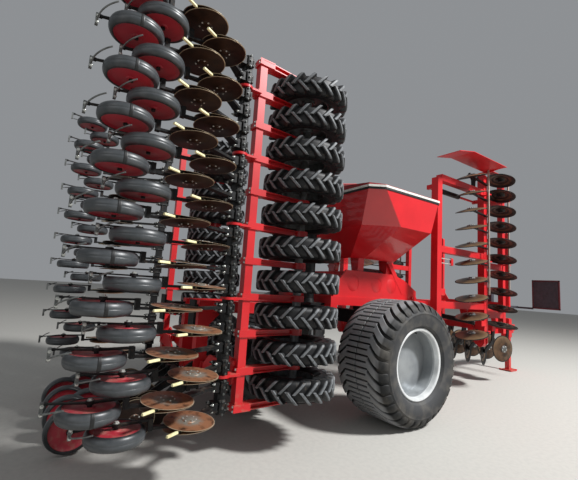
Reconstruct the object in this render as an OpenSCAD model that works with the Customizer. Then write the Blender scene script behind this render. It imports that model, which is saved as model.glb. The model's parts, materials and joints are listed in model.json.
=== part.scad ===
// Folded towed seed drill, parked: rear drill wings and front disc wings stand upright.
// Lengths are in mm. x is to the machine's right, y forwards from the transport axle, z up from the ground.

/* [Row layout] */
// spacing of the seed rows
row_gap = 150; // [120:1:170]
// spacing of the packer tyres
tyre_gap = 300; // [240:1:340]
// tyres on each wing
wing_tyres = 10; // [6:1:12]
// seed rows in the centre section
mid_rows = 8; // [4:2:8]
// height of the lowest wing row when folded
row_z0 = 408; // [380:1:460]
// height of the lowest wing tyre when folded
tyre_z0 = 499; // [470:1:540]

/* [Packer roller] */
// outer radius of a packer tyre over its lugs
pk_r = 389; // [360:1:400]
// radius of the casing under the lugs
pk_case_r = 362; // [330:1:370]
// radius of the casing's shoulder
pk_shoulder = 42; // [30:1:60]
// width of a packer tyre
pk_w = 184; // [150:1:210]
// radius of the packer rim
pk_rim_r = 205; // [180:1:230]
// radius of the roller axle
pk_axle_r = 40; // [30:1:50]
// roller axle, outboard place when folded
pk_x = 1030; // [1000:1:1060]
// roller axle, place along the machine
pk_y = -1342; // [-1400:1:-1300]
// lugs on each half of a tyre
pk_lugs = 15; // [8:1:20]
// width of a lug at its foot
lug_w = 40; // [30:1:50]
// slant of the lugs
lug_turn = 42; // [30:1:50]
// thickness of a packer arm at its bearing
arm_t = 30; // [20:1:36]
// height of a packer arm's channel
arm_h = 52; // [40:1:60]
// radius of an arm's bearing ring
bear_r = 66; // [60:1:70]
// lowest packer arm of a folded wing
arm_z0 = 362; // [350:1:370]
// gap left where two sub-parts seat on each other
seat = 0.3; // [0:0.1:1]
// running clearance of an axle in its bore
run_gap = 0.05; // [0.02:0.01:0.1]

/* [Rear wing] */
// inner face of the wing beam when folded
bm_x0 = 1020; // [1000:1:1060]
// width of the wing beam
bm_w = 80; // [60:1:100]
// depth of the wing beam along the machine
bm_d = 70; // [60:1:100]
// rear face of the wing beam
bm_y0 = -1940; // [-2000:1:-1900]
// lower end of the folded beam
bm_z0 = 341; // [330:1:380]
// upper end of the folded beam
bm_z1 = 3365; // [3340:1:3500]
// thickness of the beam's end plates
cap_t = 10; // [6:1:16]
// rear fold hinge, outboard place
rh_x = 903; // [880:1:940]
// rear fold hinge, height
rh_z = 636; // [600:1:680]
// radius of the rear hinge pin
rh_r = 30; // [20:1:40]
// thickness of the hinge plates
hinge_t = 20; // [15:1:25]
// side gap at a hinge plate
hinge_gap = 5; // [3:1:10]

/* [Fold cylinders] */
// radius of a cylinder barrel
cyl_r = 38; // [30:1:50]
// radius of a cylinder rod
rod_r = 20; // [15:1:25]
// from a cylinder's pin to its barrel's full width, clear of the ears
cyl_neck = 58; // [56:1:70]
// width of a cylinder eye
eye_w = 36; // [30:1:40]
// thickness of the plates beside an eye
ear_t = 12; // [8:1:15]
// gap between an eye and its plates
ear_gap = 6; // [2:1:8]
// rear cylinder plane along the machine
rc_y = -1800; // [-1810:1:-1790]
// rear cylinder foot, outboard place
rc_x0 = 300; // [280:1:320]
// rear cylinder foot, height
rc_z0 = 1100; // [1080:1:1120]
// rear rod eye, outboard place when folded
rc_x1 = 943; // [930:1:960]
// rear rod eye, height when folded
rc_z1 = 936; // [920:1:950]
// length of a rear barrel
rc_len = 600; // [560:1:620]
// front cylinder plane along the machine
fc_y = 2100; // [2090:1:2110]
// front cylinder foot, outboard place
fc_x0 = 250; // [230:1:270]
// front cylinder foot, height
fc_z0 = 1050; // [1030:1:1070]
// front rod eye, outboard place when folded
fc_x1 = 905; // [890:1:920]
// front rod eye, height when folded
fc_z1 = 1000; // [980:1:1020]
// length of a front barrel
fc_len = 590; // [560:1:610]

/* [Coulters] */
// outer radius of a seed disc
sd_r = 170; // [150:1:190]
// thickness of a seed disc
sd_t = 4; // [3:0.5:6]
// seed disc axis outboard when folded
sd_x = 1350; // [1320:1:1380]
// seed disc axis of the front row
sd_y1 = -2402; // [-2450:1:-2380]
// seed disc axis of the rear row
sd_y2 = -2561; // [-2600:1:-2540]
// radius of a press wheel
pw_r = 175; // [160:1:190]
// width of a press wheel
pw_w = 84; // [60:1:96]
// radius where the rubber meets the wheel's dish
pw_dish_r = 148; // [130:1:160]
// radius of the press wheel axle
pw_axle_r = 14; // [10:1:18]
// press wheel axis outboard when folded
pw_x = 1357; // [1330:1:1370]
// press wheel axis of the front row
pw_y1 = -2858; // [-2900:1:-2840]
// press wheel axis of the rear row
pw_y2 = -3016; // [-3060:1:-3000]
// coulter bar centre outboard when folded
cb_x = 1110; // [1090:1:1130]
// coulter bar centre along the machine
cb_y = -2080; // [-2100:1:-2060]
// side of the square coulter bar
cb_w = 70; // [60:1:80]
// seed boot centre outboard when folded
tip_x = 1462; // [1440:1:1480]
// seed boot of the front row
tip_y1 = -2507; // [-2530:1:-2490]
// seed boot of the rear row
tip_y2 = -2666; // [-2690:1:-2650]
// length of a seed boot
boot_len = 100; // [80:1:120]
// radius of the bend in a harrow tine
tine_bend = 245; // [200:1:300]
// radius of the tine wire
tine_r = 5; // [4:0.5:8]
// harrow tine holders, outboard place when folded
tine_x = 1290; // [1270:1:1310]
// gap from a press wheel back to its tine holder
tine_gap = 50; // [30:1:70]
// half the angle that a tine bends through
tine_turn = 28; // [20:1:35]
// angle that a tine leans forward
tine_lean = 25; // [15:1:30]
// angle that a tine leans sideways
tine_rise = 17; // [5:1:20]
// depth of a tine holder
tine_pad = 18; // [12:1:24]

/* [Centre section] */
// packer tyres in the centre
mid_tyres = 4; // [2:2:4]
// centre roller axle height
mid_pk_z = 509; // [480:1:540]
// distance of the two rear frame members from the middle
rf_x = 200; // [180:1:220]
// width of the rear frame members
rf_w = 100; // [80:1:120]
// top of the rear frame
rf_z1 = 1160; // [1100:1:1200]
// foot of the rear frame
rf_z0 = 430; // [400:1:480]
// rear face of the rear frame
rf_y0 = -1980; // [-2020:1:-1960]
// rear end of the chassis
ch_y0 = -560; // [-600:1:-520]
// front end of the chassis rails
ch_y1 = 3600; // [3500:1:3700]
// centre of a chassis rail from the middle
rail_x = 560; // [520:1:600]
// width of a chassis rail
rail_w = 120; // [100:1:140]
// underside of the chassis rails
rail_z0 = 1180; // [1100:1:1200]
// height of the chassis rails
rail_h = 100; // [80:1:120]
// top of the chassis side plates
deck_z = 1600; // [1550:1:1650]
// thickness of the chassis side plates
plate_t = 20; // [12:1:25]
// height of the wing rest posts
post_z1 = 2570; // [2400:1:2700]

/* [Transport wheels] */
// radius of a transport tyre, which stands on the ground
tw_r = 645; // [620:1:670]
// width of a transport tyre
tw_w = 690; // [600:1:710]
// radius of its shoulders
tw_shoulder = 105; // [80:1:130]
// centre plane of a transport tyre
tw_x = 1120; // [1080:1:1160]
// radius of the transport rim edge
tw_rim_r = 358; // [340:1:370]
// half width of the transport rim
tw_rim_w = 270; // [240:1:290]
// radius of the hub
hub_r = 120; // [100:1:140]
// radius of the stub axle
stub_r = 60; // [50:1:70]

/* [Front disc wings] */
// front fold hinge, outboard place
fh_x = 880; // [860:1:920]
// front fold hinge, height
fh_z = 700; // [660:1:740]
// radius of the front hinge pins
fh_r = 25; // [20:1:30]
// rear hinge of a front wing along the machine
fh_y1 = 1030; // [1000:1:1060]
// front hinge of a front wing along the machine
fh_y2 = 2220; // [2200:1:2240]
// radius of a harrow disc
hd_r = 215; // [190:1:220]
// radius of the dish of a harrow disc
hd_bend = 800; // [700:1:1000]
// slant of the harrow discs
hd_turn = 16; // [10:1:20]
// spacing of harrow discs in a row
hd_gap = 250; // [200:1:300]
// discs in one row of a wing
hd_n = 10; // [8:1:12]
// lowest disc of a folded front wing
hd_z0 = 870; // [850:1:900]
// disc axis of the rear disc row
hd_y1 = 1650; // [1600:1:1700]
// disc axis of the front disc row
hd_y2 = 2490; // [2480:1:2500]
// disc axis outboard when folded
hd_x = 1040; // [1020:1:1060]
// inner face of the disc wing beams
fw_x = 850; // [830:1:870]
// side of the disc wing beams
fw_w = 100; // [80:1:120]
// lower end of the disc wing beams
fw_z0 = 780; // [760:1:800]
// upper end of the disc wing beams
fw_z1 = 3280; // [3200:1:3340]
// upper end of the rear disc wing beam
fw_z2 = 2980; // [2900:1:3100]
// rear face of the front beam of a disc wing
fw_y3 = 2760; // [2740:1:2780]
// half width of the centre disc beams
dc_x = 800; // [760:1:840]
// underside of the centre disc beams
dc_z = 860; // [820:1:900]
// side of the centre disc beams
dc_w = 100; // [80:1:120]
// rear centre disc beam along the machine
dc_y1 = 2700; // [2680:1:2720]
// front centre disc beam along the machine
dc_y2 = 3350; // [3330:1:3370]
// height of the centre disc axes
dc_hub_z = 560; // [540:1:600]
// discs in one row of the centre
dc_n = 7; // [5:2:9]

/* [Drawbar] */
// half width of the drawbar
db_x = 110; // [90:1:130]
// underside of the drawbar
db_z = 700; // [660:1:720]
// height of the drawbar
db_h = 160; // [140:1:200]
// centre of the hitch eye along the machine
eye_y = 5080; // [5000:1:5200]
// outer radius of the hitch eye
eye_r = 70; // [60:1:80]
// bore radius of the hitch eye
eye_bore = 26; // [25:0.5:30]
// thickness of the hitch eye
eye_t = 50; // [40:1:60]
// parking jack, place right of the middle
jk_x = 200; // [190:1:240]
// parking jack, place along the machine
jk_y = 4500; // [4400:1:4600]
// side of the jack's inner tube
jk_w = 80; // [60:1:90]

/* [Hopper] */
// half width of the hopper
hp_x = 1150; // [1050:1:1200]
// rear face of the hopper
hp_y0 = -450; // [-500:1:-400]
// front face of the hopper
hp_y1 = 800; // [700:1:850]
// height of the hopper rim
hp_z1 = 2520; // [2450:1:2600]
// foot of the upright hopper walls
hp_z0 = 2110; // [2050:1:2150]
// foot of the hopper funnel
hp_zf = 1760; // [1700:1:1800]
// half width of the funnel's foot
hp_xf = 620; // [560:1:700]
// hopper wall thickness
hp_t = 6; // [4:1:10]
// height of the rim profile
hp_rim_h = 24; // [16:1:40]
// rise of the cover above the rim
cover_rise = 70; // [40:1:100]

/* [Hidden] */
$fn = 48;
wing_rows = 2 * wing_tyres;
row_z1 = row_z0 + (wing_rows - 1) * row_gap;
tail_y = pw_y2 - pw_r - tine_gap - tine_pad;
y_shift = -(eye_y + eye_r + tail_y) / 2;

// a box between two corners
module bx(x0, x1, y0, y1, z0, z1) {
    translate([x0, y0, z0])
        cube([x1 - x0, y1 - y0, z1 - z0]);
}

// a plate whose outline lies in x and z
module plate_xz(y0, y1, outline) {
    translate([0, y1, 0])
        rotate([90, 0, 0])
            linear_extrude(height = y1 - y0)
                polygon(outline);
}

// a plate whose outline lies in y and z
module plate_yz(x0, x1, outline) {
    translate([x0, 0, 0])
        rotate([90, 0, 90])
            linear_extrude(height = x1 - x0)
                polygon(outline);
}

// a round bar along y
module pin_y(x, z, y0, y1, r) {
    translate([x, y0, z])
        rotate([-90, 0, 0])
            cylinder(r = r, h = y1 - y0);
}

// a round bar along x
module pin_x(y, z, x0, x1, r) {
    translate([x0, y, z])
        rotate([0, 90, 0])
            cylinder(r = r, h = x1 - x0);
}

// a level bar that tapers from one width to another
module taper_bar(x0, y0, w0, x1, y1, w1, z, t) {
    len = sqrt((x1 - x0) * (x1 - x0) + (y1 - y0) * (y1 - y0));
    translate([x0, y0, z - t / 2])
        rotate([0, 0, atan2(y1 - y0, x1 - x0)])
            linear_extrude(height = t)
                polygon([[0, -w0 / 2], [len, -w1 / 2], [len, w1 / 2], [0, w0 / 2]]);
}

module place() {
    translate([0, y_shift, 0])
        children();
}

module side(s) {
    mirror([s < 0 ? 1 : 0, 0, 0])
        children();
}

// turns the wing layout down into the centre: outboard becomes down
module to_mid() {
    translate([rh_x, 0, rh_z])
        rotate([0, 90, 0])
            translate([-rh_x, 0, -rh_z])
                children();
}

// points of an arc
function arc(cx, cy, r, a0, a1, n) =
    [for (i = [0:n]) [cx + r * cos(a0 + (a1 - a0) * i / n), cy + r * sin(a0 + (a1 - a0) * i / n)]];

// an outline and its mirror image across the first axis
function both(half) = concat(half, [for (i = [len(half) - 1:-1:0]) [half[i][0], -half[i][1]]]);

// packer tyre on its axis, with slanted lugs that meet in a V
module packer_tyre() {
    h = pk_w / 2;
    lug_len = (h - 10) / cos(lug_turn);
    lug_foot = pk_case_r - pk_shoulder / 2;
    lug_h = pk_r - 2 - lug_foot;
    rotate_extrude()
        polygon(both(concat([[pk_rim_r, h - 30], [pk_rim_r + 45, h]],
            arc(pk_case_r - pk_shoulder, h - pk_shoulder, pk_shoulder, 90, 0, 3))));
    for (i = [0:pk_lugs - 1]) {
        for (s = [-1, 1]) {
            rotate([0, 0, (i + s / 4) * 360 / pk_lugs])
                translate([lug_foot, 0, s * (h / 2 - 7)])
                    rotate([-s * lug_turn, 0, 0])
                        translate([0, 0, -lug_len / 2])
                            linear_extrude(height = lug_len)
                                polygon(both([[0, lug_w / 2], [lug_h, lug_w / 2 - 4]]));
        }
    }
}

// packer rim: drum, dished disc and hub in one turned outline
module packer_rim() {
    h = pk_w / 2 - 30;
    rotate_extrude()
        polygon([[pk_axle_r - 1, -26], [pk_axle_r + 18, -26], [pk_axle_r + 24, -4], [pk_rim_r - 34, 10],
            [pk_rim_r - 10, 4],
            [pk_rim_r - 10, -h], [pk_rim_r, -h], [pk_rim_r, h], [pk_rim_r - 10, h], [pk_rim_r - 10, 12],
            [pk_rim_r - 34, 18], [pk_axle_r + 24, 4], [pk_axle_r + 18, 26], [pk_axle_r - 1, 26]]);
}

// one packer arm: clamp on the beam, open channel and bearing ring
module wing_arm(z) {
    bm_x = bm_x0 + bm_w / 2;
    bm_y = bm_y0 + bm_d;
    difference() {
        union() {
            bx(bm_x0 - 14, bm_x0 + bm_w + 14, bm_y0 - 14, bm_y0 + 20, z - arm_h / 2 - 2, z + arm_h / 2 + 2);
            bx(bm_x0 - 12, bm_x0 + bm_w + 12, bm_y0, bm_y + 70, z - arm_h / 2 - 3, z + arm_h / 2 + 3);
            taper_bar(bm_x, bm_y, 12, pk_x, pk_y, 12, z, arm_h - 4);
            for (s = [-1, 1]) {
                taper_bar(bm_x, bm_y, 96, pk_x, pk_y, 72, z + s * (arm_h / 2 - 4), 8);
            }
            translate([pk_x, pk_y, z])
                cylinder(r = bear_r, h = arm_h + 6, center = true);
        }
        translate([pk_x, pk_y, z])
            cylinder(r = pk_axle_r + run_gap, h = arm_h + 20, center = true);
    }
}

// a hinge plate that widens from its pin to the beam
module hinge_plate(x, z, x1, y, r, pin_r) {
    difference() {
        union() {
            plate_xz(y, y + hinge_t, [[x, z - r], [x1, z - r - 45], [x1, z + r + 45], [x, z + r]]);
            pin_y(x, z, y, y + hinge_t, r);
        }
        pin_y(x, z, y - 1, y + hinge_t + 1, pin_r + run_gap);
    }
}

// two plates beside a cylinder's eye, rounded at the free end
module ears(x0, x1, y, z, r) {
    for (s = [-1, 1]) {
        y0 = y + s * (eye_w / 2 + ear_gap + ear_t / 2) - ear_t / 2;
        bx(min(x0, x1), max(x0, x1), y0, y0 + ear_t, z - r, z + r);
        pin_y(x0, z, y0, y0 + ear_t, r);
    }
}

// saddle that holds the coulter bar behind the wing beam
module saddle(z) {
    r = cb_w / 2 * sqrt(2) + 14;
    difference() {
        union() {
            translate([cb_x, cb_y, z - 10])
                cylinder(r = r, h = 20);
            bx(bm_x0 + 10, cb_x + 40, cb_y, bm_y0 + 5, z - 9, z + 9);
        }
        translate([cb_x, cb_y, z])
            cube([cb_w + 2 * seat, cb_w + 2 * seat, 22], center = true);
    }
}

// frame of the right rear wing, folded
module wing_frame() {
    color("#c9202a") {
        bx(bm_x0, bm_x0 + bm_w, bm_y0, bm_y0 + bm_d, bm_z0, bm_z1);
        bx(bm_x0 - 14, bm_x0 + bm_w + 14, bm_y0 - 12, bm_y0 + bm_d + 60, bm_z1, bm_z1 + cap_t);
        plate_yz(bm_x0 + bm_w / 2 - 6, bm_x0 + bm_w / 2 + 6,
            [[bm_y0 + bm_d - 2, bm_z1 - 150], [bm_y0 + bm_d + 50, bm_z1 + 2], [bm_y0 + bm_d - 2, bm_z1 + 2]]);
        for (i = [0:wing_tyres]) {
            wing_arm(i == 0 ? arm_z0 : tyre_z0 + (i - 0.5) * tyre_gap);
        }
        for (i = [0:4]) {
            saddle(row_z0 + (1.5 + 4 * i) * row_gap);
        }
        for (y = [bm_y0 - 5 - hinge_t, bm_y0 + bm_d + 5]) {
            hinge_plate(rh_x, rh_z, bm_x0 + 4, y, 2 * rh_r, rh_r);
            bx(bm_x0 + 2, bm_x0 + 40, bm_y0 - 4 - hinge_t, bm_y0 + bm_d + 4 + hinge_t, rh_z - 90, rh_z + 90);
        }
        ears(rc_x1, bm_x0 + 40, rc_y, rc_z1, 40);
        bx(bm_x0 + 6, bm_x0 + 38, bm_y0 + bm_d - 2, rc_y + eye_w / 2 + ear_gap + ear_t, rc_z1 - 38,
            rc_z1 + 38);
    }
}

module packer_tyres() {
    color("#1b1c1e") {
        for (i = [0:wing_tyres - 1]) {
            translate([pk_x, pk_y, tyre_z0 + i * tyre_gap])
                packer_tyre();
        }
    }
}

module packer_axle() {
    color("#8c8f92") {
        translate([pk_x, pk_y, arm_z0 - arm_h / 2 - 14])
            cylinder(r = pk_axle_r, h = tyre_z0 + (wing_tyres - 0.5) * tyre_gap - arm_z0 + arm_h + 28);
        for (i = [0:wing_tyres - 1]) {
            translate([pk_x, pk_y, tyre_z0 + i * tyre_gap])
                packer_rim();
        }
    }
}

// places of the two staggered rows: even rows stand in front
function disc_y(i) = i % 2 == 0 ? sd_y1 : sd_y2;
function wheel_y(i) = i % 2 == 0 ? pw_y1 : pw_y2;
function boot_y(i) = i % 2 == 0 ? tip_y1 : tip_y2;
function tine_y(i) = wheel_y(i) - pw_r - tine_gap;

// coulter bar and arms of the right wing
module coulters() {
    color("#1d1e20") {
        bx(cb_x - cb_w / 2, cb_x + cb_w / 2, cb_y - cb_w / 2, cb_y + cb_w / 2, row_z0 - 50, row_z1 + 50);
        for (i = [0:wing_rows - 1]) {
            coulter_arm(i, row_z0 + i * row_gap, true);
        }
    }
}

// clamp, disc arm, press wheel arm and boot stem of one row
module coulter_arm(i, z, tail) {
    side_z = z + pw_w / 2 + 12;
    knee_y = wheel_y(i) + pw_r + 30;
    bar_y = cb_y - cb_w / 2;
    bx(cb_x - cb_w / 2 - 14, cb_x + cb_w / 2 + 14, bar_y - 34, bar_y + 2, z - 36, z + 36);
    bx(cb_x - cb_w / 2 - 12, cb_x + cb_w / 2 + 12, cb_y + cb_w / 2 - 2, cb_y + cb_w / 2 + 10, z - 34, z + 34);
    taper_bar(cb_x, bar_y - 12, 74, sd_x, disc_y(i), 44, z, 20);
    translate([sd_x, disc_y(i), z])
        cylinder(r = 31, h = 22, center = true);
    taper_bar(sd_x, disc_y(i), 50, sd_x - 20, knee_y, 34, z, 17);
    bx(sd_x - 42, sd_x + 3, knee_y - 16, knee_y + 14, z - 12, side_z + 8);
    taper_bar(sd_x - 20, knee_y, 36, pw_x, wheel_y(i), 30, side_z, 12);
    translate([pw_x, wheel_y(i), z - pw_w / 2 - 4])
        cylinder(r = pw_axle_r, h = pw_w + 24);
    translate([pw_x, wheel_y(i), side_z - 7])
        cylinder(r = 24, h = 20);
    if (tail) {
        taper_bar(pw_x, wheel_y(i), 30, tine_x, tine_y(i) + 12, 22, side_z, 9);
        bx(tine_x - 13, tine_x + 13, tine_y(i) + seat, tine_y(i) + 20, side_z - 8, side_z + 7);
    }
    taper_bar(sd_x, disc_y(i), 30, tip_x, boot_y(i), 22, z, 10);
    translate([tip_x, boot_y(i), z])
        cylinder(r = 16, h = 12, center = true);
}

module seed_discs() {
    color("#7a5138") {
        for (i = [0:wing_rows - 1]) {
            seed_disc(disc_y(i), row_z0 + i * row_gap);
        }
    }
    color("#e8e0c8") {
        for (i = [0:wing_rows - 1]) {
            seed_boot(boot_y(i), row_z0 + i * row_gap);
        }
    }
}

// two discs that meet in front of the boot, each with a bearing cap
module seed_disc(y, z) {
    for (s = [-1, 1]) {
        translate([sd_x, y, z + s * 16])
            rotate([0, 0, 125])
                rotate([s * 4.5, 0, 0])
                    mirror([0, 0, s < 0 ? 1 : 0])
                        rotate_extrude()
                            polygon([[0, -sd_t / 2], [sd_r - 12, -sd_t / 2], [sd_r, 0], [sd_r - 12, sd_t / 2],
                                [48, sd_t / 2], [40, 11], [16, 15], [0, 15]]);
    }
}

module seed_boot(y, z) {
    for (s = [-1, 1]) {
        translate([tip_x, y, z])
            rotate([0, 0, 120])
                translate([0, 0, s * 9.8])
                    cube([boot_len, 19, 7], center = true);
    }
}

module press_wheels() {
    color("#4a4d4f") {
        for (i = [0:wing_rows - 1]) {
            press_wheel(wheel_y(i), row_z0 + i * row_gap);
        }
    }
}

// press wheel: round rubber tread over a dished wheel with its hub
module press_wheel(y, z) {
    h = pw_w / 2;
    bore = pw_axle_r + 4 * run_gap;
    tread = arc(pw_dish_r, 0, 1, 78, 0, 4);
    translate([pw_x, y, z])
        rotate_extrude()
            polygon(both(concat([[bore, h - 8], [30, h - 8], [36, h - 26], [pw_dish_r - 26, h - 26],
                [pw_dish_r - 8, h - 7]],
                [for (p = tread) [pw_dish_r + (p[0] - pw_dish_r) * (pw_r - pw_dish_r), p[1] * h]])));
}

module tines() {
    color("#2a2b2d") {
        for (i = [0:wing_rows - 1]) {
            z = row_z0 + i * row_gap;
            bx(tine_x - 12, tine_x + 12, tine_y(i) - tine_pad, tine_y(i), z - 14, z + pw_w / 2 + 22);
            tine(tine_y(i) - tine_pad / 2, z);
        }
    }
}

// harrow tine: a wire bent in one arc towards the soil
module tine(y, z) {
    translate([tine_x, y, z])
        rotate([0, -tine_rise, tine_lean])
            translate([tine_bend * sin(tine_turn), tine_bend * cos(tine_turn), 0])
                rotate([0, 0, -90 - tine_turn])
                    rotate_extrude(angle = 2 * tine_turn)
                        translate([tine_bend, 0])
                            circle(r = tine_r, $fn = 16);
}

// frame behind the chassis, between the two rear wings
module rear_frame() {
    pin_y0 = bm_y0 - 5 - hinge_t - hinge_gap - hinge_t - 10;
    pin_y1 = bm_y0 + bm_d + 5 + hinge_t + hinge_gap + hinge_t + 10;
    color("#c9202a") {
        for (s = [-1, 1]) {
            plate_yz(s * rf_x - rf_w / 2, s * rf_x + rf_w / 2, [[ch_y0 - seat, rf_z1 - 120], [ch_y0 - seat,
                rf_z1],
                [rf_y0, rf_z1], [rf_y0, rf_z0], [rf_y0 + 120, rf_z0], [rf_y0 + 120, rf_z1 - 240],
                [rf_y0 + 240, rf_z1 - 120]]);
            for (y = [pin_y0 + 10 + hinge_t / 2, pin_y1 - 10 - hinge_t / 2]) {
                hinge_arm(s, y);
            }
            ears(s * rc_x0, s * (rf_x + 20), rc_y, rc_z0, 50);
            pin_y(s * rc_x0, rc_z0, rc_y - 40, rc_y + 40, rod_r);
            pin_y(s * rh_x, rh_z, pin_y0, pin_y1, rh_r);
            bx(s * 540 - 45, s * 540 + 45, pin_y0 + 12, pin_y1 - 12, rf_z0 + 10, rf_z0 + 70);
        }
        bx(-585, 585, bm_y0, bm_y0 + bm_d, rf_z0, rf_z0 + bm_w);
        for (x = [-tyre_gap, 0, tyre_gap]) {
            mid_arm(x);
        }
    }
}

// plate from the rear beam to the hinge pin, arched over the lowest packer arm of the unfolded wing
module hinge_arm(s, y) {
    plate_xz(y - hinge_t / 2, y + hinge_t / 2, [[s * 495, rf_z0 + 10], [s * 585, rf_z0 + 10], [s * 585,
        rh_z - 95],
        [s * 670, rh_z - 90], [s * (rh_x - 20), rh_z - 2 * rh_r + 3], [s * rh_x, rh_z], [s * (rh_x - 15),
            rh_z + 57],
        [s * 620, rh_z + 60], [s * 495, rh_z - 40]]);
    pin_y(s * rh_x, rh_z, y - hinge_t / 2, y + hinge_t / 2, 2 * rh_r);
}

// centre packer arm with its bearing ring
module mid_arm(x) {
    difference() {
        union() {
            plate_yz(x - arm_t / 2, x + arm_t / 2, [[bm_y0 + 4, mid_pk_z - 60], [pk_y, mid_pk_z - 32],
                [pk_y, mid_pk_z + 32], [bm_y0 + 4, mid_pk_z + 60]]);
            pin_x(pk_y, mid_pk_z, x - arm_t / 2 - 3, x + arm_t / 2 + 3, bear_r);
        }
        pin_x(pk_y, mid_pk_z, x - arm_t, x + arm_t, pk_axle_r + run_gap);
    }
}

module packer_tyres_c() {
    color("#1b1c1e") {
        for (i = [0:mid_tyres - 1]) {
            translate([(i - (mid_tyres - 1) / 2) * tyre_gap, pk_y, mid_pk_z])
                rotate([0, 90, 0])
                    packer_tyre();
        }
    }
}

module packer_axle_c() {
    color("#8c8f92") {
        pin_x(pk_y, mid_pk_z, 45 - mid_tyres * tyre_gap / 2, mid_tyres * tyre_gap / 2 - 45, pk_axle_r);
        for (i = [0:mid_tyres - 1]) {
            translate([(i - (mid_tyres - 1) / 2) * tyre_gap, pk_y, mid_pk_z])
                rotate([0, 90, 0])
                    packer_rim();
        }
    }
}

module coulters_c() {
    color("#1d1e20") {
        to_mid() {
            bx(cb_x - cb_w / 2, cb_x + cb_w / 2, cb_y - cb_w / 2, cb_y + cb_w / 2,
                row_z0 - mid_rows * row_gap - 30, row_z0 - row_gap + 30);
            for (i = [0:mid_rows - 1]) {
                coulter_arm(i, row_z0 + (i - mid_rows) * row_gap, false);
            }
        }
        for (s = [-1, 1]) {
            plate_yz(s * rf_x - 14, s * rf_x + 14, [[cb_y - 30, rh_z + rh_x - cb_x - 40], [rf_y0 - seat,
                rf_z0 - 50],
                [rf_y0 - seat, rf_z0 + 130], [cb_y - 30, rf_z0 + 40]]);
        }
    }
}

module seed_discs_c() {
    color("#7a5138") {
        to_mid() {
            for (i = [0:mid_rows - 1]) {
                seed_disc(disc_y(i), row_z0 + (i - mid_rows) * row_gap);
            }
        }
    }
    color("#e8e0c8") {
        to_mid() {
            for (i = [0:mid_rows - 1]) {
                seed_boot(boot_y(i), row_z0 + (i - mid_rows) * row_gap);
            }
        }
    }
}

module press_wheels_c() {
    color("#4a4d4f") {
        to_mid() {
            for (i = [0:mid_rows - 1]) {
                press_wheel(wheel_y(i), row_z0 + (i - mid_rows) * row_gap);
            }
        }
    }
}

// chassis: two rails, pierced side plates, cross members, hinge brackets and wing rest posts
module main_frame() {
    rail_z1 = rail_z0 + rail_h;
    color("#c9202a") {
        for (s = [-1, 1]) {
            bx(s * rail_x - rail_w / 2, s * rail_x + rail_w / 2, ch_y0 + 40, ch_y1, rail_z0, rail_z1);
            chassis_plate(s * (rail_x + 40));
            for (y = [fh_y1, fh_y2]) {
                disc_knuckle(s, y);
            }
            ears(s * fc_x0, s * (fc_x0 + 20), fc_y, fc_z0, 45);
            for (e = [-1, 1]) {
                y = fc_y + e * (eye_w / 2 + ear_gap + ear_t / 2);
                bx(s * fc_x0 - 40, s * fc_x0 + 40, y - ear_t / 2, y + ear_t / 2, fc_z0, rail_z0 + 5);
            }
            pin_y(s * fc_x0, fc_z0, fc_y - 40, fc_y + 40, rod_r);
            rest_post(s * (rail_x + 80));
        }
        for (y = [-60, 460]) {
            bx(-rail_x - 45, rail_x + 45, y - 50, y + 50, deck_z - 60, deck_z);
        }
        bx(-rail_x - 60, rail_x + 60, ch_y0, ch_y0 + 100, rf_z1 - 120, rail_z1);
        bx(-rail_x - 60, rail_x + 60, 900, 1000, rail_z0, rail_z0 + 140);
        bx(-rail_x - 60, rail_x + 60, ch_y1 - 100, ch_y1, rail_z0, rail_z0 + 140);
        bx(-rail_x - 60, rail_x + 60, -60, 60, rail_z0, rail_z1);
        bx(-rail_x + 40, rail_x - 40, fc_y - 60, fc_y + 60, rail_z0, rail_z1);
    }
}

// knuckle that carries one hinge pin of a disc wing, cranked to clear the wing's post
module disc_knuckle(s, y) {
    plate_xz(y - 24, y + 24, [[s * (rail_x - 20), rail_z0 + 20], [s * (rail_x + 80), rail_z0 + 20],
        [s * (fw_x - 50), fw_z0 + 50], [s * (fh_x - 42), fh_z + 48], [s * fh_x, fh_z], [s * (fh_x - 12),
            fh_z - 48],
        [s * (fh_x - 80), fh_z - 20], [s * (fh_x - 140), fh_z + 60], [s * rail_x, rail_z0 - 60]]);
    pin_y(s * fh_x, fh_z, y - 24, y + 24, 2 * fh_r);
    pin_y(s * fh_x, fh_z, y - 60, y + 60, fh_r);
}

// side plate under the hopper, lightened by round holes and with a sloping strut behind
module chassis_plate(x) {
    difference() {
        plate_yz(x - plate_t / 2, x + plate_t / 2, [[ch_y0 + 40, rail_z0 + 60], [1000, rail_z0 + 60],
            [1000, rail_z0 + 220], [740, deck_z - 60], [520, deck_z], [-330, deck_z], [ch_y0 + 40,
                rail_z0 + 200]]);
        for (y = [-210, 200, 480]) {
            pin_x(y, (rail_z0 + rail_h + deck_z) / 2 + 5, x - plate_t, x + plate_t, 95);
        }
    }
    for (s = [-1, 1]) {
        plate_yz(x + s * 9 - 4, x + s * 9 + 4,
            [[690, deck_z - 250], [770, deck_z - 250], [480, hp_zf - 20], [400, hp_zf - 20]]);
    }
}

// post that the front wing leans on, with a rounded top
module rest_post(x) {
    bx(x - 30, x + 30, ch_y1 - 60, ch_y1 - 1, rail_z0, post_z1 - 30);
    pin_y(x, post_z1 - 30, ch_y1 - 60, ch_y1 - 1, 30);
    plate_xz(ch_y1 - 36, ch_y1 - 26, [[x - 34, rail_z0 + 130], [x - sign(x) * 150, rail_z0 + 130], [x,
        rail_z0 + 360]]);
}

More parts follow.
